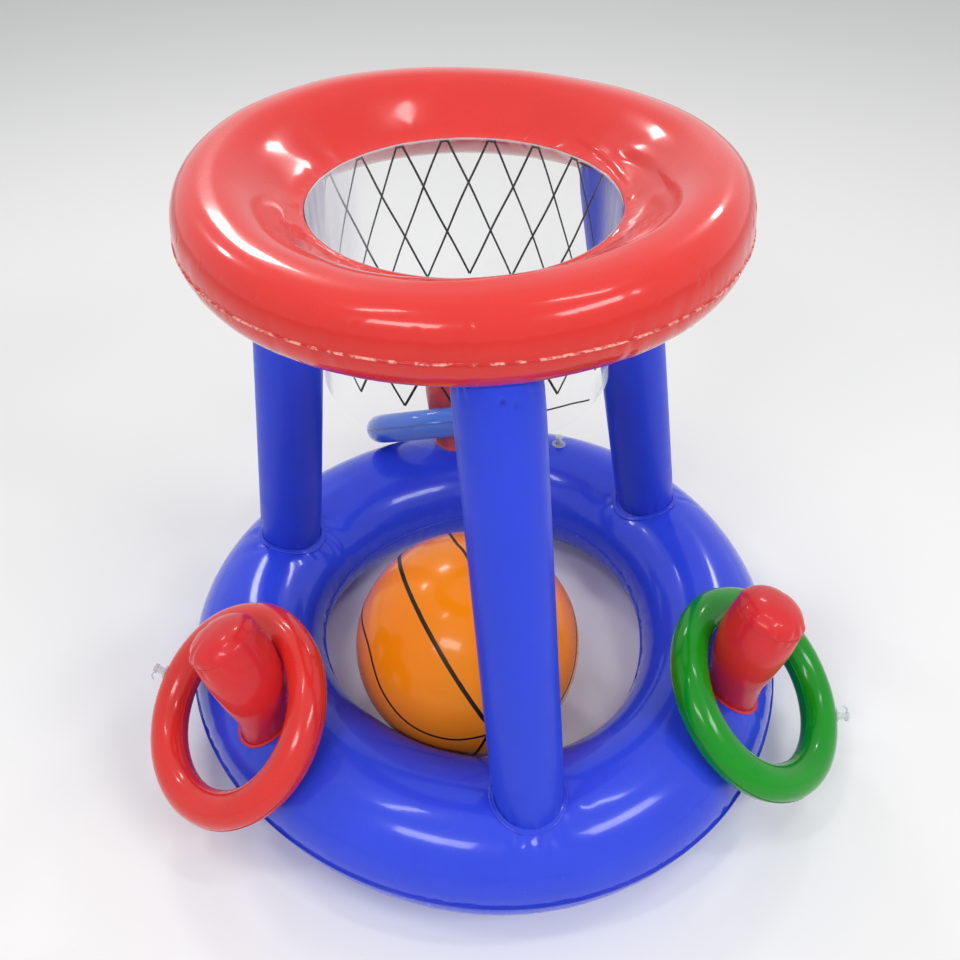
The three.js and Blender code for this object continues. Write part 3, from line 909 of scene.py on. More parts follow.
BASE = InflatedRing(
    crest=234.4, out_half=65.6, in_half=65.6, out_seam=58.5, in_seam=58.5, upper=Bulge(119.5),
    lower=Bulge(-2.5), floor=0.0, drift=((1.26, 0.36), (-1.77, 0.03), (-3.2, 2.35)),
    around=720, rows=54, ripple=Waves(0.35, (3, 5, 7, 12), 3),
    outer_creases=(Creases(95, 2.6, 0.55, 9, 11), Creases(26, 5, 0.5, 22, 12)),
    inner_creases=(Creases(64, 3.0, 0.8, 13, 21), Creases(18, 6, 0.7, 26, 22)),
    lip_wave=0.12,
)
HOOP = InflatedRing(
    crest=177.1, out_half=32, in_half=58.1, out_seam=533.5, in_seam=537, upper=Bulge(570.9, 2.65, 1.5),
    lower=Bulge(503, 2, 1), out_lip=0.9, in_lip=2.0, lean=(-15.0, 1.0), swell=((0.06, 2.63), (1.5, -3.21)),
    around=1080, rows=60, ripple=Waves(0.3, (2, 5, 9, 14), 4),
    outer_creases=(
        Creases(120, 1.2, 0.6, 4.5, 31), Creases(46, 1.4, 0.8, 6, 32, 17), Creases(30, 4, 0.5, 20, 33),
    ),
    inner_creases=(Creases(38, 2.2, 0.5, 9, 41), Creases(14, 6, 0.8, 26, 42)),
    weld_wide=1.5,
    folds=(
        Fold(
            (
                (-112, 166), (-98, 165), (-81, 161), (-66, 159), (-52, 162), (-36, 157), (-14, 143), (6, 137),
                (24, 132),
            ),
            depth=1.3, width=3.4,
        ),
        Fold(((-178, 129), (-156, 133), (-140, 147), (-122, 160)), depth=1.2, width=3.0),
        Fold(((-2, 121), (12, 122), (27, 126), (44, 131)), depth=1.0, width=2.4),
    ),
)
TOSS = InflatedRing(
    crest=83.4, out_half=16.7, in_half=16.7, out_seam=0, in_seam=0, upper=Bulge(16.7), lower=Bulge(-16.7),
    out_lip=0.45, in_lip=0.3, around=300, rows=30, ripple=Waves(0.14, (2, 3, 5, 8), 6),
    outer_creases=(Creases(46, 1.6, 0.3, 5, 51),),
    inner_creases=(Creases(40, 1.5, 0.4, 6, 52),),
    lip_wave=0.08,
)


@dataclass(frozen=True)
class Foot:
    """Place where a tube is welded to the base ring, with the creases that it draws there."""

    NEAR = 60
    DENT_REACH = 7
    INSIDE = 12
    ABOVE_SEAM = 5

    circle: float
    azimuth: float
    radius: float
    creases: Creases
    dent: float = 0.9

    def press(self, skin: Skin) -> None:
        """Crease a sheet round the foot."""
        middle = polar(self.circle, self.azimuth)
        x, y = skin.grid[..., 0] - middle[0], skin.grid[..., 1] - middle[1]
        off = np.hypot(x, y) - self.radius
        near = off < self.NEAR
        depth = np.zeros(off.shape)
        depth[near] = self.creases.field(np.arctan2(y, x)[near], self.radius, off[near])
        depth += self.dent * bell(np.clip(off, 0, None), self.DENT_REACH) * (off > -self.INSIDE)
        upper = skin.grid[..., 2] > BASE.out_seam + self.ABOVE_SEAM
        skin.press(np.where(upper, depth, 0.0))


@dataclass
class Valve:
    """Inflation valve: a welded flange, a stem with a rim and a plug on a strap."""

    seat: Array
    axis: Array
    owner: str
    prefix: str
    flange: float = 8.5
    stem: float = 3.3
    bore: float = 2.2
    shank: float = 10.0
    rim: float = 4.6

    @property
    def face(self) -> float:
        """Height of the plug's underside over the film."""
        return self.shank + 0.3

    def build(
        self, clearance: Clearance, clear: bpy.types.Material, change: Callable[[Array], Array] = np.array
    ) -> None:
        """Make the three pieces.

        Args:
            clearance: Height over the film that the flange is welded to.
            clear: Their material.
            change: Moves a skin's grid from the film's own frame to the object's.
        """
        jobs = (
            ("valve_flange", self.owner, [self.flange_skin(clearance)]),
            ("valve_stem", f"{self.prefix}_stem", [self.stem_skin()]),
            ("valve_plug", f"{self.prefix}_plug", [self.plug_skin(), self.strap_skin()]),
        )
        for suffix, body, skins in jobs:
            name = f"{self.prefix}_{suffix}"
            for skin in skins:
                skin.grid, skin.core = change(skin.grid), change(skin.core)
            mesh = join_meshes(f"{name}_skin", [skin.mesh(name) for skin in skins])
            place(mesh, body, clear, "clear_soft", [name])

    def flange_skin(self, clearance: Clearance) -> Skin:
        """Disc of clear vinyl that follows the film, with a raised collar and a rib near its edge."""
        stem, edge = self.stem, self.flange
        stations = [
            (stem + 0.55, 0.4), (stem + 0.6, 1.6), (stem + 1.5, 1.5), (stem + 2.1, 0.85), (edge - 2.0, 0.8),
            (edge - 1.5, 1.15), (edge - 1.0, 0.8), (edge - 0.2, 0.7), (edge, 0.25),
        ]
        return collar(clearance, self.seat, self.axis, stations, FILM_GAP, 48)

    def stem_skin(self) -> Skin:
        """Bored stem with a rolled rim and two soft ribs."""
        stem, rib, low, top = self.stem, self.stem + 0.35, -2.4, self.shank
        outline = [
            (stem, low), (stem, 1.9), (rib, 2.6), (stem, 3.3), (stem, 4.6), (rib, 5.3), (stem, 6.0),
            (stem, top - 1.5), (self.rim, top - 1.4), (self.rim, top), (self.bore, top), (self.bore, low),
        ]
        return lathe(self.seat, self.axis, rounded(outline + outline[:1], 0.45)[:-1], closed=True)

    def plug_skin(self) -> Skin:
        """Spigot, cap and finger grip, turned in one."""
        outline = [
            (0.02, -4.9), (1.5, -4.9), (1.95, -4.0), (1.75, -0.6), (4.5, 0.0), (4.6, 1.3), (3.0, 1.4),
            (2.6, 2.1), (0.02, 2.2),
        ]
        return lathe(self.seat + self.axis * self.face, self.axis, rounded(outline, 0.4))

    def strap_skin(self) -> Skin:
        """Pull tab that stands off the cap's edge."""
        u, v = square_to(self.axis)
        start = self.seat + self.axis * (self.face + 0.35) + u * 4.2
        steps = ((0, 0), (2.4, 0.2), (4.6, -0.9), (6.0, -2.6))
        path = spline([start + u * out + self.axis * rise for out, rise in steps], 14)
        up = unit(np.cross(np.gradient(path, axis=0), np.broadcast_to(v, path.shape)))
        return ribbon(path, up * np.sign((up @ self.axis).sum()), 3.4, 0.9)


def seat_of(clearance: Clearance, near: Array, axis: Array) -> Array:
    """Point on the film under a valve."""
    return meet(clearance, (near + axis * ABOVE)[None], -axis, REACH, 0.0)[0]


def ring_normal(ring: InflatedRing, circle: float, azimuth: float, side: int) -> Array:
    """Outward normal of a ring's film."""
    a = math.radians(azimuth)
    slope = float(ring.level(side, circle + 0.5, a) - ring.level(side, circle - 0.5, a))
    return side * unit([-slope * math.cos(a), -slope * math.sin(a), 1.0])


def ring_valve(ring: InflatedRing, circle: float, azimuth: float, side: int, prefix: str) -> Valve:
    """Valve that stands on the film of a ring of the stand."""
    axis = ring_normal(ring, circle, azimuth, side)
    near = polar(circle, azimuth, ring.bulge(side).peak) + ring.centre
    return Valve(seat_of(ring.clearance(side), near, axis), axis, "stand", prefix)


def weld_band(middle: Array, axis: Array, radii: tuple[float, float], high: float) -> Skin:
    """Thin welded band round a foot, lying on the base ring, between two radii."""
    inside, outside = radii
    form = ((0.0, 0.2), (0.06, 1.0), (0.25, 0.75), (0.5, 0.6), (0.75, 0.75), (0.94, 0.85), (1.0, 0.1))
    stations = [(inside + share * (outside - inside), lift * high) for share, lift in form]
    return collar(BASE.clearance(1), middle, axis, stations, weld=0.25)


# Sub-assemblies


@dataclass
class StandRing:
    """Big ring of the stand: two welded films, one of them with a valve."""

    name: str
    form: InflatedRing
    slot: str
    valve_circle: float
    valve_azimuth: float
    valve_side: int
    feet: tuple[Foot, ...] = ()
    lower_seed: int = 0

    def build(self, wardrobe: Wardrobe) -> None:
        """Make both sheets and the valve."""
        finish = getattr(wardrobe, self.slot)
        valve = ring_valve(self.form, self.valve_circle, self.valve_azimuth, self.valve_side, self.name)
        for side, part, seed in ((1, "upper", 0), (-1, "lower", self.lower_seed)):
            skin = self.form.sheet(side, seed)
            if side > 0:
                for foot in self.feet:
                    foot.press(skin)
            if side == self.valve_side:
                skin.pierce(valve.seat, valve.axis)
            name = f"{self.name}_{part}"
            place(skin.mesh(f"{name}_film"), "stand", finish, self.slot, [f"{name}_sheet"])
        valve.build(self.form.clearance(self.valve_side), wardrobe.clear_soft)


class BaseRing(StandRing):
    """The big blue ring that floats or stands on the floor; its valve is on top."""

    def __init__(self, feet: tuple[Foot, ...]) -> None:
        """Set its form; feet are the places where legs and pegs are welded to it."""
        super().__init__("base", BASE, "base_blue", 247, 61, 1, feet, 100)


class HoopRing(StandRing):
    """The red hoop, a ring that tapers towards its mouth; its valve is underneath."""

    def __init__(self) -> None:
        """Set its form."""
        super().__init__("hoop", HOOP, "red_film", 190, 62, -1)


@dataclass
class NetSleeve:
    """Clear film sleeve in the hoop's mouth with the net printed on it."""

    radius: float = 116.1
    top: float = 536.9
    bottom: float = 395.5
    line: float = 1.9
    hem: float = 2.2
    reach: float = 1.5
    apex: float = 1.6
    flute: float = 0.9
    flare: float = 1.4
    gather: float = 0.35
    print_drop: float = 115.5
    print_tilt: float = 9.5
    tips: tuple[float, ...] = (
        100.5, 119.5, 138.4, 157.4, 176.3, 197.5, 221, 240.5, 259.7, 278.8, 298, 321, 346.5, 365.5, 384.4,
        403.4, 422.3, 441.4,
    )
    # Patches of milky crumpled film with painted glare: azimuth, width, level, height and share.
    milk_and_glare_patches: tuple[tuple[float, ...], ...] = (
        (170, 36, 505, 75, 1.2), (358, 16, 505, 45, 0.7), (330, 9, 404, 14, 0.9), (193, 7, 404, 13, 0.7),
    )

    def azimuth(self, cell: Array) -> Array:
        """Angle of places counted in cells of the net, which the film's folds draw together and apart."""
        tips = np.radians(self.tips)
        turns = np.arange(-1, 3)[:, None]
        places = (np.arange(len(tips)) + 0.5 + turns * len(tips)).ravel()
        return np.interp(cell, places, (tips + 2 * np.pi * turns).ravel())

    def surface(self, angle: Array, z: Array) -> Array:
        """Points of the film, with its soft flutes growing towards the free edge."""
        free = np.clip((self.top - z) / (self.top - self.bottom), 0, 1)
        flutes = self.flute * Waves(1.0, (5, 7, 11), 71).field(angle, free * 2.0)
        r = self.radius + free**1.5 * flutes + self.flare * smooth_step(0.86, 1.0, free)
        r = r + Waves(1.0, (19, 26), 72).field(angle) * bell(free, 0.06) * self.gather
        return np.stack([HOOP.lean[0] + r * np.cos(angle), HOOP.lean[1] + r * np.sin(angle), z], -1)

    def depth_at(self, angle: Array) -> Array:
        """How far down the printed net reaches: less at the front, where the film is creased."""
        return self.print_drop + self.print_tilt * np.sin(angle)

    def edge(self, angle: Array) -> Array:
        """Level of the free edge."""
        return self.bottom + 2.0 * Waves(1.0, (3, 5, 9), 73).field(angle)

    def film(self) -> Skin:
        """The sleeve's film."""
        angle = full_turn(380)
        hang = np.linspace(0, 1, 60) ** 0.9
        z = self.top + (self.edge(angle)[None] - self.top) * hang[:, None]
        grid = self.surface(np.broadcast_to(angle, z.shape), z)
        core = grid * np.array([0, 0, 1.0]) + HOOP.centre
        return Skin(grid, core, weld=self.milk_and_glare(np.broadcast_to(angle, z.shape), z))

    def milk_and_glare(self, angle: Array, z: Array) -> Array:
        """How milky and bright the film is: milky where it is crumpled, with painted glare where it is seen
        at a grazing angle at the two sides and at the curls of its edge.
        """
        degrees = np.degrees(angle) % 360
        crumple = 0.75 + 0.25 * Waves(1.0, (37, 52, 71), 74).field(angle, z / 9)
        total = np.zeros(z.shape)
        for at, wide, level, high, share in self.milk_and_glare_patches:
            off = (degrees - at + 180) % 360 - 180
            total += share * bell(off, wide, 4) * bell(z - level, high, 4)
        return np.clip(total * crumple, 0, 1)

    def printed(self, angle: Array, z: Array, width: float) -> Skin:
        """One printed line on the outside of the film."""
        path = self.surface(angle, z)
        up = unit((path - HOOP.centre) * np.array([1.0, 1.0, 0]))
        return ribbon(path + up * PRINT_GAP, up, width, PRINT_THICK)

    def lattice(self) -> list[Skin]:
        """Crossing lines from each apex, the small caps over them and one stray line near the edge."""
        strips = []
        drop, start, high = np.linspace(0, 1, 40), 0.07, self.top - self.apex
        cap = np.linspace(-0.1, 0.1, 8)
        for k in range(len(self.tips)):
            for turn in (-1, 1):
                wobble = 0.05 * np.sin(drop * 8.1 + 1.7 * k + turn) * drop * (1 - drop)
                angle = self.azimuth(k + turn * (start + drop * (self.reach - start) + wobble))
                level = high - drop * (self.depth_at(angle) - self.apex)
                strips.append(self.printed(angle, level, self.line))
            strips.append(self.printed(self.azimuth(k + cap), np.full(8, high), self.hem))
        stray = np.radians([-67.0, -61.0, -53.0, -42.6])
        path = spline(np.stack([stray, [418.8, 416.6, 412.4, 404.0]], 1), 16)
        strips.append(self.printed(path[:, 0], path[:, 1], 1.5))
        return strips

    def hems(self) -> list[Skin]:
        """Thicker clear edge along the weld at the top, and one curled fold at the bottom, both whitened with
        painted glare.
        """
        angle = np.linspace(0, 2 * np.pi, 361)
        upper = self.printed(angle, np.full(361, self.top - 0.4), self.hem)
        # The top edge is whiter at the sides, where the film glares: painted glare.
        hem_glare = self.milk_and_glare(angle, np.full(361, self.top - 20.0)) * 0.6
        curl = np.radians(np.linspace(-38, -18, 24))
        fold = self.printed(curl, self.edge(curl) + 3 + 15 * np.linspace(0, 1, 24) ** 1.6, 2.0)
        # The curled fold is whitened through its weld value: painted glare.
        return [replace(upper, weld=hem_glare[:, None]), replace(fold, weld=0.4)]

    def build(self, wardrobe: Wardrobe) -> None:
        """Make the film, its edges and its print."""
        film = place(self.film().mesh("net_film"), "stand", wardrobe.clear_film, "clear_film", ["net_sleeve"])
        ink = join_meshes("net_print", [skin.mesh("line") for skin in self.lattice()])
        printed = place(ink, "stand", wardrobe.net_ink, "clear_film")
        edges = join_meshes("net_edges", [skin.mesh("edge") for skin in self.hems()])
        hems = place(edges, "stand", wardrobe.clear_edge_glare, "clear_film")
        flat = (2 * math.pi * self.radius * MM, (self.top - self.bottom) * MM)


@dataclass
class Leg:
    """Film tube between the base ring and the hoop."""

    name: str
    azimuth: float
    foot_circle: float
    foot_radius: float
    head_circle: float
    head_azimuth: float
    seed: int
    radius: float = 32.0
    head_radius: float = 29.6
    easing: float = 11.0
    around: int = 144
    rows: int = 90
    pinches: tuple[tuple[float, ...], ...] = ((-1, 2.2, 12, 2.4), (8, 1.9, 14, 2.2))

    @property
    def foot(self) -> Foot:
        """The weld on the base ring."""
        creases = Creases(13, 3.2, 1.5, 17, self.seed + 5)
        return Foot(self.foot_circle, self.azimuth, self.foot_radius + 2, creases)

    def line(self) -> tuple[Array, Array, Array]:
        """Middle of the foot, middle of the head, and the way from one to the other."""
        foot = polar(self.foot_circle, self.azimuth, BASE.upper.peak)
        head = polar(self.head_circle, self.head_azimuth, HOOP.lower.peak) + HOOP.centre
        return foot, head, unit(head - foot)

    def skin(self) -> Skin:
        """The tube, saddle-cut at both ends."""
        foot, head, axis = self.line()
        length = float(np.linalg.norm(head - foot))
        middle = (foot + head) / 2
        ends = []
        for over, radius, way in (
            (BASE.clearance(1), self.foot_radius, -axis), (HOOP.clearance(-1), self.head_radius, axis),
        ):
            start = circle_about(middle, axis, radius, self.around)
            ends.append((meet(over, start, way, length, FOOT_GAP) - middle) @ axis)
        low, high = ends
        t = 0.5 - 0.5 * np.cos(np.pi * np.linspace(0, 1, self.rows))
        run = low[None] + t[:, None] * (high - low)[None]
        from_foot, from_head = np.clip(run - low[None], 0, None), np.clip(high[None] - run, 0, None)
        r = self.radius - (self.radius - self.foot_radius) * bell(from_foot, self.easing, 1.4)
        r -= (self.radius - self.head_radius) * bell(from_head, self.easing, 1.4)
        angle = full_turn(self.around)
        r += Waves(0.35, (2, 3), self.seed).field(angle[None], run / 110)
        u, v = square_to(axis)
        out = np.cos(angle)[None, :, None] * u + np.sin(angle)[None, :, None] * v
        grid = middle + run[..., None] * axis + r[..., None] * out
        core = middle + run[..., None] * axis
        depth = Creases(12, 2.8, 1.1, 16, self.seed + 1).field(angle[None], self.radius, from_foot)
        depth += Creases(15, 2.6, 1.0, 13, self.seed + 2).field(angle[None], self.radius, from_head)
        dimples = self.dimples(from_head, angle)
        weld = bell(np.minimum(from_foot, from_head)) * TUBE_WELD
        # The dimples darken the film through the weld value: painted shade in the dents.
        weld = np.maximum(weld, np.clip(dimples / 3, 0, 1) ** 2)
        return Skin(grid, core, weld).press(depth + dimples)

    def dimples(self, from_head: Array, angle: Array) -> Array:
        """Small pinches under the hoop where the film was folded in its box."""
        u, v = square_to(self.line()[2])
        out = polar(1, self.azimuth)
        outward = math.atan2(float(out @ v), float(out @ u)) % (2 * math.pi)
        facing = angle[np.argmin(np.abs(angle - outward))]
        off = np.angle(np.exp(1j * (angle - facing)))[None] * self.radius
        near, pair = (
            bell(off - at, wide) * bell(from_head - down, high) for at, wide, down, high in self.pinches
        )
        return (3.4 * near + 2.4 * pair) if self.name == "front" else 0.5 * near

    def head_band(self) -> Skin:
        """Thin welded band round the head, lying on the hoop."""
        form = ((0.0, 0.2), (0.1, 0.8), (0.5, 0.5), (0.9, 0.7), (1.0, 0.1))
        stations = [(self.head_radius + 0.5 + share * 4.0, lift * 0.6) for share, lift in form]
        head, axis = self.line()[1:]
        return collar(HOOP.clearance(-1), head, axis, stations, side=-1, weld=0.3)

    def build(self, wardrobe: Wardrobe) -> None:
        """Make the tube and its two weld bands."""
        name = f"leg_{self.name}"
        place(self.skin().mesh(f"{name}_film"), "stand", wardrobe.leg_blue, "leg_blue", [name])
        radii = (self.foot_radius + 0.4, self.foot_radius + 5.2)
        foot = weld_band(self.line()[0], np.array([0, 0, 1.0]), radii, 0.7).mesh(f"{name}_foot_band")
        place(foot, "stand", wardrobe.base_blue, "leg_blue", [f"{name}_foot_flange"])
        place(self.head_band().mesh(f"{name}_head_band"), "stand", wardrobe.leg_blue, "leg_blue")


@dataclass
class Peg:
    """Ring toss peg: a wall that widens from its narrow foot and bends over, under a welded crown."""

    name: str
    azimuth: float
    circle: float
    bend: float
    towards: float
    seed: int
    profile: tuple[tuple[float, float], ...] = (
        (0, 22.6), (7, 23.4), (20, 25.4), (44, 30), (74, 32.5), (97, 31),
    )
    lip: tuple[tuple[float, float], ...] = ((1.0, 0.0), (1.0, 0.5), (0.15, 0.8))
    rim: float = 31.0
    brim: float = 0.7
    rise: float = 17.6
    around: int = 160

    @property
    def foot(self) -> Foot:
        """The weld on the base ring."""
        return Foot(self.circle, self.azimuth, 24.5, Creases(9, 2.8, 0.9, 12, self.seed + 5), 0.7)

    @property
    def side(self) -> Array:
        """Level direction square to the way the peg bends."""
        return np.cross([0, 0, 1.0], polar(1, self.towards))

    def spine(self, up: Union[float, Array]) -> tuple[Array, Array]:
        """Points of the curved centre line, and the ways it points, at distances up from the foot."""
        over, rise = polar(1, self.towards), np.array([0, 0, 1.0])
        rate = math.radians(self.bend) / self.profile[-1][0]
        turn = rate * np.asarray(up, float)[..., None]
        base = float(BASE.level(1, self.circle, math.radians(self.azimuth)))
        foot = polar(self.circle, self.azimuth, base)
        at = foot + np.sin(turn) / rate * rise + (1 - np.cos(turn)) / rate * over
        return at, np.sin(turn) * over + np.cos(turn) * rise

    def circle_at(self, at: Array, way: Array, radius: Union[float, Array]) -> Array:
        """Circle of the peg about a point of its centre line."""
        return circle_about(at, way, radius, self.around, self.side)

    def far_side(self) -> Array:
        """How much each place round the rim lies on the side that the peg bends to, from 0 to 1."""
        return 0.5 - 0.5 * np.sin(full_turn(self.around))

    def wall(self) -> Skin:
        """The side wall, with puckers under the crown's weld and a few at the foot."""
        line = spline(self.profile, 76)
        level = line[:, 0]
        at, way = self.spine(level)
        grid = np.array([self.circle_at(p, w, r) for p, w, r in zip(at, way, line[:, 1])])
        start = self.circle_at(at[0] + way[0] * ABOVE, way[0], line[0, 1])
        first = (meet(BASE.clearance(1), start, -way[0], REACH, FOOT_GAP) - at[0]) @ way[0]
        share = np.clip(1 - level / 14, 0, 1) ** 1.5
        grid = grid + (share[:, None] * first)[..., None] * way[0]
        angle, far = full_turn(self.around)[None], self.far_side()[None]
        off_foot, off_top = level[:, None], (level[-1] - level)[:, None]
        depth = Creases(24, 1.9, 1.8, 8, self.seed).field(angle, self.rim, off_top) * far
        depth += Creases(9, 4.5, 1.1, 22, self.seed + 1).field(angle, self.rim, off_top) * far
        depth += Creases(10, 2.4, 0.8, 10, self.seed + 2).field(angle, self.rim, off_foot)
        depth -= Waves(0.3, (2, 3, 5), self.seed).field(angle, off_foot / 40)
        # The dark weld under the crown runs on the far side only, where it also stands for the rim's shadow:
        # partly painted shade.
        weld = TUBE_WELD * np.maximum(bell(off_top) * far, bell(off_foot))
        return Skin(grid, at[:, None], weld).press(depth * smooth_step(-0.1, 1.2, off_top))

    def crown(self) -> Skin:
        """The crown: a lip, a shoulder that is puckered on the far side, and a domed top."""
        at, way = self.spine(self.profile[-1][0])
        rim, high, far = self.rim, self.rise, self.far_side()
        outline = [
            (rim, 0.02), (rim * 0.99, 2.6), (rim * 0.945, 6.6), (rim * 0.76, 12.6), (rim * 0.43, 16.4),
            (rim * 0.14, high), (0.05, high),
        ]
        dome = spline(outline, 44)
        rows = []
        for out, lift in self.lip:
            lip = self.circle_at(at, way, rim + out * self.brim * far)
            rows.append(lip + (lift * far)[:, None] * way)
        rows += [self.circle_at(at + way * lift, way, r) for r, lift in dome]
        angle = full_turn(self.around)[None]
        run = np.concatenate([[-1.2, -0.6, -0.2, 0], np.cumsum(np.hypot(*np.diff(dome, axis=0).T))])
        off = run[:, None]
        depth = Creases(20, 2.2, 3.0, 9, self.seed + 3).field(angle, rim, off)
        depth += Creases(9, 3.6, 2.2, 15, self.seed + 4).field(angle, rim, off)
        near_top = np.concatenate([[rim] * len(self.lip), dome[:, 0]])[:, None]
        depth *= far * smooth_step(-0.2, 1.5, off) * smooth_step(1.0, 9.0, near_top)
        # Dark weld on the far side only: a real weld line that is partly painted shade of the rim.
        weld = bell(np.clip(off, 0, None), 0.8) * 0.55 * far
        return Skin(np.array(rows), at - way * 4, weld).press(depth)

    def build(self, wardrobe: Wardrobe) -> None:
        """Make the wall, the crown and the foot band."""
        name = f"peg_{self.name}"
        band = weld_band(*self.spine(0.0), (22.8, 25.2), 0.5)
        pieces = (
            (self.wall(), "wall_film", "wall"), (self.crown(), "crown_film", "crown"),
            (band, "foot_band", "foot_flange"),
        )
        for skin, piece, solid in pieces:
            mesh = skin.mesh(f"{name}_{piece}")
            place(mesh, "stand", wardrobe.peg_red, "red_film", [f"{name}_{solid}"])


@dataclass
class TossRing:
    """Toss ring hung over a peg, leaning out over the base ring."""

    name: str
    circle: float
    azimuth: float
    height: float
    facing: float
    tilt: float
    valve_at: float
    slot: str
    seed: int
    valve_rise: float = 35.0

    def hang(self, points: Array) -> Array:
        """Carry points from the ring's own frame to where it hangs."""
        facing = Matrix.Rotation(math.radians(self.facing), 3, "Z")
        turn = facing @ Matrix.Rotation(math.radians(self.tilt), 3, "Y")
        return points @ np.array(turn).T + polar(self.circle, self.azimuth, self.height)

    @staticmethod
    def clearance(p: Array) -> Array:
        """Height of points over the ring's tube, in its own frame."""
        return np.hypot(np.hypot(p[:, 0], p[:, 1]) - TOSS.crest, p[:, 2]) - TOSS.out_half

    def build(self, wardrobe: Wardrobe) -> None:
        """Make both sheets and the small valve."""
        name = f"toss_{self.name}"
        film = getattr(wardrobe, name)
        rise = math.radians(self.valve_rise)
        axis = polar(math.cos(rise), self.valve_at, math.sin(rise))
        near = polar(TOSS.crest, self.valve_at) + axis * TOSS.out_half
        valve = Valve(seat_of(self.clearance, near, axis), axis, name, name, flange=6.6)
        for side, part, seed in ((1, "upper", 0), (-1, "lower", 3)):
            skin = TOSS.sheet(side, self.seed + seed)
            if side > 0:
                skin.pierce(valve.seat, valve.axis)
            skin.grid, skin.core = self.hang(skin.grid), self.hang(skin.core)
            place(skin.mesh(f"{name}_{part}_film"), name, film, self.slot, [f"{name}_{part}_sheet"])
        valve.build(self.clearance, wardrobe.clear_soft, self.hang)


@dataclass
class Ball:
    """Inflated ball of two halves with printed lines."""

    centre: tuple[float, float, float] = (-25.7, -61.4, 108.5)
    radius: float = 108.2
    seam: tuple[float, float, float] = (0.845, 0.15, 0.514)
    valve_way: tuple[float, float, float] = (0.25, 0.8, 0.55)
    around: int = 200
    rows: int = 60
    thick_plane: tuple[float, float, float, float] = (0.887, 0.201, 0.416, -0.098)
    wide: float = 4.1
    narrow: float = 3.0
    line_thick: float = 0.3
    line_sunk: float = 0.12
    seam_width: float = 1.5
    seam_depth: float = 0.25
    pole: tuple[float, float, float] = (0.04, -1.0, 0.02)
    far_pole: tuple[float, float, float] = (0.0, 1.0, 0.0)
    curves: tuple[tuple[tuple[float, float, float], ...], ...] = (
        ((-.28, -.959, -.038), (-.587, -.81, .017), (-.777, -.601, .184), (-.871, -.268, .413),
         (-.93, .08, .40), (-.905, .32, .331), (-.66, .74, .12)),
        ((.30, -.95, -.07), (.741, -.671, -.04), (.93, -.281, .238), (.942, .118, .329), (.80, .58, .15),
         (.34, .94, .02)),
        ((.13, -.9, .42), (.18, -.6, .78), (.09, -.2, .977), (.003, .186, .983), (-.045, .34, .939),
         (-.074, .615, .785), (-.04, .88, .46)),
        ((.3, -.7, -.65), (.66, -.35, -.66), (.7, .2, -.69), (.42, .75, -.5)),
        ((-.22, -.72, -.66), (-.66, -.35, -.66), (-.7, .2, -.69), (-.42, .75, -.5)),
    )

    def half(self, side: int) -> Skin:
        """One half, with small puckers along the weld between the halves."""
        middle = np.array(self.centre)
        a = np.linspace(0, np.pi / 2, self.rows)
        stations = np.stack([self.radius * np.cos(a), self.radius * np.sin(a)], 1)
        stations[0, 1], stations[-1, 0] = 0.05, 0.03
        skin = replace(lathe(middle, unit(self.seam) * side, stations, self.around), core=middle)
        off = (self.radius * a)[:, None]
        creases = Creases(38, 2.2, 0.45, 9, 91 + side)
        depth = creases.field(full_turn(self.around)[None], self.radius, off)
        return skin.press(depth + self.seam_depth * bell(off, self.seam_width))

    def clearance(self, p: Array) -> Array:
        """Height of points over the ball."""
        return np.linalg.norm(p - np.array(self.centre), axis=1) - self.radius

    def printed(self, ways: Array, width: float) -> Skin:
        """A printed line along directions from the middle."""
        up = unit(ways)
        path = np.array(self.centre) + up * (self.radius - self.line_sunk)
        return ribbon(path, up, width, self.line_thick)

    def lines(self) -> list[Skin]:
        """All printed lines: the broad one round the seam and the narrow ones from pole to pole."""
        n = unit(self.thick_plane[:3])
        u, v = square_to(n)
        a = np.linspace(0, 2 * np.pi, 181)[:, None]
        d = self.thick_plane[3]
        ring = n * d + math.sqrt(1 - d * d) * (np.cos(a) * u + np.sin(a) * v)
        curves = [spline([self.pole, *curve, self.far_pole], 90) for curve in self.curves]
        return [self.printed(ring, self.wide), *(self.printed(curve, self.narrow) for curve in curves)]

    def build(self, wardrobe: Wardrobe) -> None:
        """Make the halves, the lines and the valve."""
        way = unit(self.valve_way)
        valve = Valve(np.array(self.centre) + way * self.radius, way, "ball", "ball")
        pierced = 1 if float(way @ unit(self.seam)) > 0 else -1
        for side, name in ((pierced, "pierced"), (-pierced, "plain")):
            skin = self.half(side)
            if side == pierced:
                skin.pierce(valve.seat, way)
            mesh = skin.mesh(f"ball_{name}_film")
            place(mesh, "ball", wardrobe.ball_orange, "orange_film", [f"ball_half_{name}"])
        ink = join_meshes("ball_lines", [skin.mesh("line") for skin in self.lines()])
        place(ink, "ball", wardrobe.ball_ink, "orange_film")
        valve.build(self.clearance, wardrobe.clear_soft)


# Studio


@dataclass(frozen=True)
class Lamp:
    """Soft area lamp that looks at the middle of the object."""

    name: str
    at: tuple[float, float, float]
    size: tuple[float, float]
    power: float
    aim: tuple[float, float, float] = (0.0, 0.0, 0.25)

    def hang(self) -> None:
        """Put the lamp in the scene."""
        data = bpy.data.lights.new(self.name, "AREA")
        data.shape = "RECTANGLE"
        data.size, data.size_y = self.size
        data.energy = self.power
        lamp = add_object(self.name, data)
        lamp.location = self.at
        lamp.rotation_mode = "QUATERNION"
        lamp.rotation_quaternion = (Vector(self.aim) - Vector(self.at)).to_track_quat("-Z", "Y")


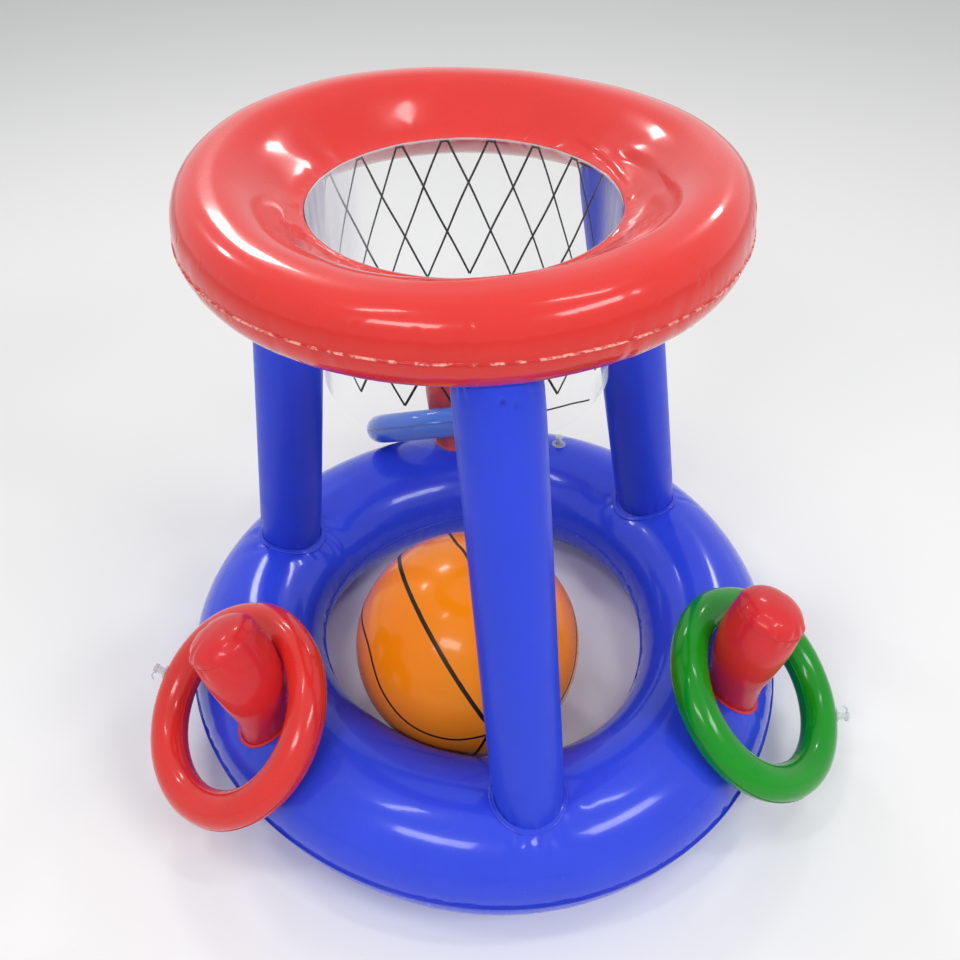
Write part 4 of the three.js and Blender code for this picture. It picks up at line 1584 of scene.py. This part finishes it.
@dataclass(frozen=True)
class Studio:
    """Floor, sky, lamps and the camera at the photograph's place."""

    eye: tuple[float, float, float] = (-91.9, -661.0, 844.6)
    yaw: float = 7.53
    pitch: float = 41.06
    roll: float = 0.335
    lens: float = 36.0
    sensor: float = 36.0
    clip: tuple[float, float] = (0.02, 60.0)
    floor_half: float = 9.0
    floor_drop: float = 0.0002
    sky_light: float = 0.5
    lamps: tuple[Lamp, ...] = (
        Lamp("back_right", (1.25, 1.35, 1.7), (0.24, 0.14), 3.4),
        Lamp("back_left", (-1.35, 1.15, 1.9), (0.24, 0.14), 3.4),
        Lamp("back_middle", (-0.5, 1.5, 1.72), (0.3, 0.22), 5),
        Lamp("front_left", (-0.85, -1.45, 1.8), (0.8, 0.34), 12),
        Lamp("front_right", (1.1, -1.25, 1.7), (0.8, 0.34), 12),
        Lamp("top_left", (-0.75, -0.35, 2.3), (0.14, 0.5), 4),
        Lamp("top_right", (0.75, -0.3, 2.3), (0.14, 0.5), 4),
        Lamp("overhead", (0.0, 0.0, 4.2), (4.5, 4.5), 7),
    )

    def camera(self) -> None:
        """Camera where the photograph was taken from."""
        yaw, pitch, roll = (math.radians(a) for a in (self.yaw, self.pitch, self.roll))
        ahead = np.array([math.sin(yaw) * math.cos(pitch), math.cos(yaw) * math.cos(pitch), -math.sin(pitch)])
        right = np.array([math.cos(yaw), -math.sin(yaw), 0.0])
        down = np.cross(ahead, right)
        c, s = math.cos(roll), math.sin(roll)
        right, down = c * right + s * down, c * down - s * right
        data = bpy.data.cameras.new("photo_view")
        data.lens, data.sensor_width = self.lens, self.sensor
        data.clip_start, data.clip_end = self.clip
        eye = (np.array(self.eye) + RING_MIDDLE) * MM
        camera = add_object("photo_view", data)
        turned = np.stack([right, -down, -ahead], 1)
        camera.matrix_world = Matrix.Translation(Vector(eye)) @ Matrix(turned.tolist()).to_4x4()
        bpy.context.scene.camera = camera

    def floor(self) -> None:
        """Plain floor under everything."""
        mesh = bpy.data.meshes.new("floor")
        half, level = self.floor_half, -self.floor_drop
        corners = [(-half, -half, level), (half, -half, level), (half, half, level), (-half, half, level)]
        mesh.from_pydata(corners, [], [(0, 1, 2, 3)])
        mesh.materials.append(Floor().make())
        piece = add_object("floor", mesh)

    def sky(self) -> None:
        """Pale even sky: white to the camera and in reflections, softer as a light."""
        world = bpy.data.worlds.new("studio")
        bpy.context.scene.world = world
        nodes = Nodes(world, "BACKGROUND")
        kinds = ("Is Camera Ray", "Is Glossy Ray", "Is Transmission Ray")
        camera, glossy, through = (nodes.node("ShaderNodeLightPath", {}, {}, kind) for kind in kinds)
        seen = (camera + glossy + through).between(0, 1)
        nodes.out("Strength", self.sky_light + (1 - self.sky_light) * seen)
        nodes.out("Color", (0.97, 0.98, 1.0, 1.0))

    def build(self) -> None:
        """Set the studio up."""
        bpy.context.scene.view_settings.view_transform = "Standard"
        self.camera()
        self.floor()
        self.sky()
        for lamp in self.lamps:
            lamp.hang()


def write_sizes() -> None:
    """Bring the scene's transforms up to date."""
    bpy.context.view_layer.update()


def main() -> None:
    """Build every sub-assembly in order."""
    logging.basicConfig(level=logging.INFO, format="%(name)s %(message)s")
    wardrobe = Wardrobe()
    legs = (
        Leg("front", -89.2, 237, 28.4, 168, -90.4, 110, 30.3, 28.6),
        Leg("right", 30.2, 229.5, 31, 168.8, 33.3, 120),
        Leg("left", 149.7, 228.1, 31, 164.2, 145.6, 130),
    )
    pegs = (
        Peg("right", -35.5, 260, 20, 5, 210),
        Peg("back", 90.5, 247, 6, 91, 220),
        Peg("left", -149.9, 253, 27, 150, 230),
    )
    rings = (
        TossRing("green", 280, -34.6, 114.8, -33.4, 37.6, 25, "green_film", 310),
        TossRing("blue", 264.7, 91.5, 129.9, 91.5, 37.5, 210, "sky_film", 320),
        TossRing("red", 272.8, -153, 123.4, -152, 39.6, 290, "red_film", 330),
    )
    feet = tuple(part.foot for part in (*legs, *pegs))
    Studio().build()
    for part in (BaseRing(feet), HoopRing(), NetSleeve(), *legs, *pegs, *rings, Ball()):
        part.build(wardrobe)
    write_sizes()


if __name__ == "__main__":
    main()
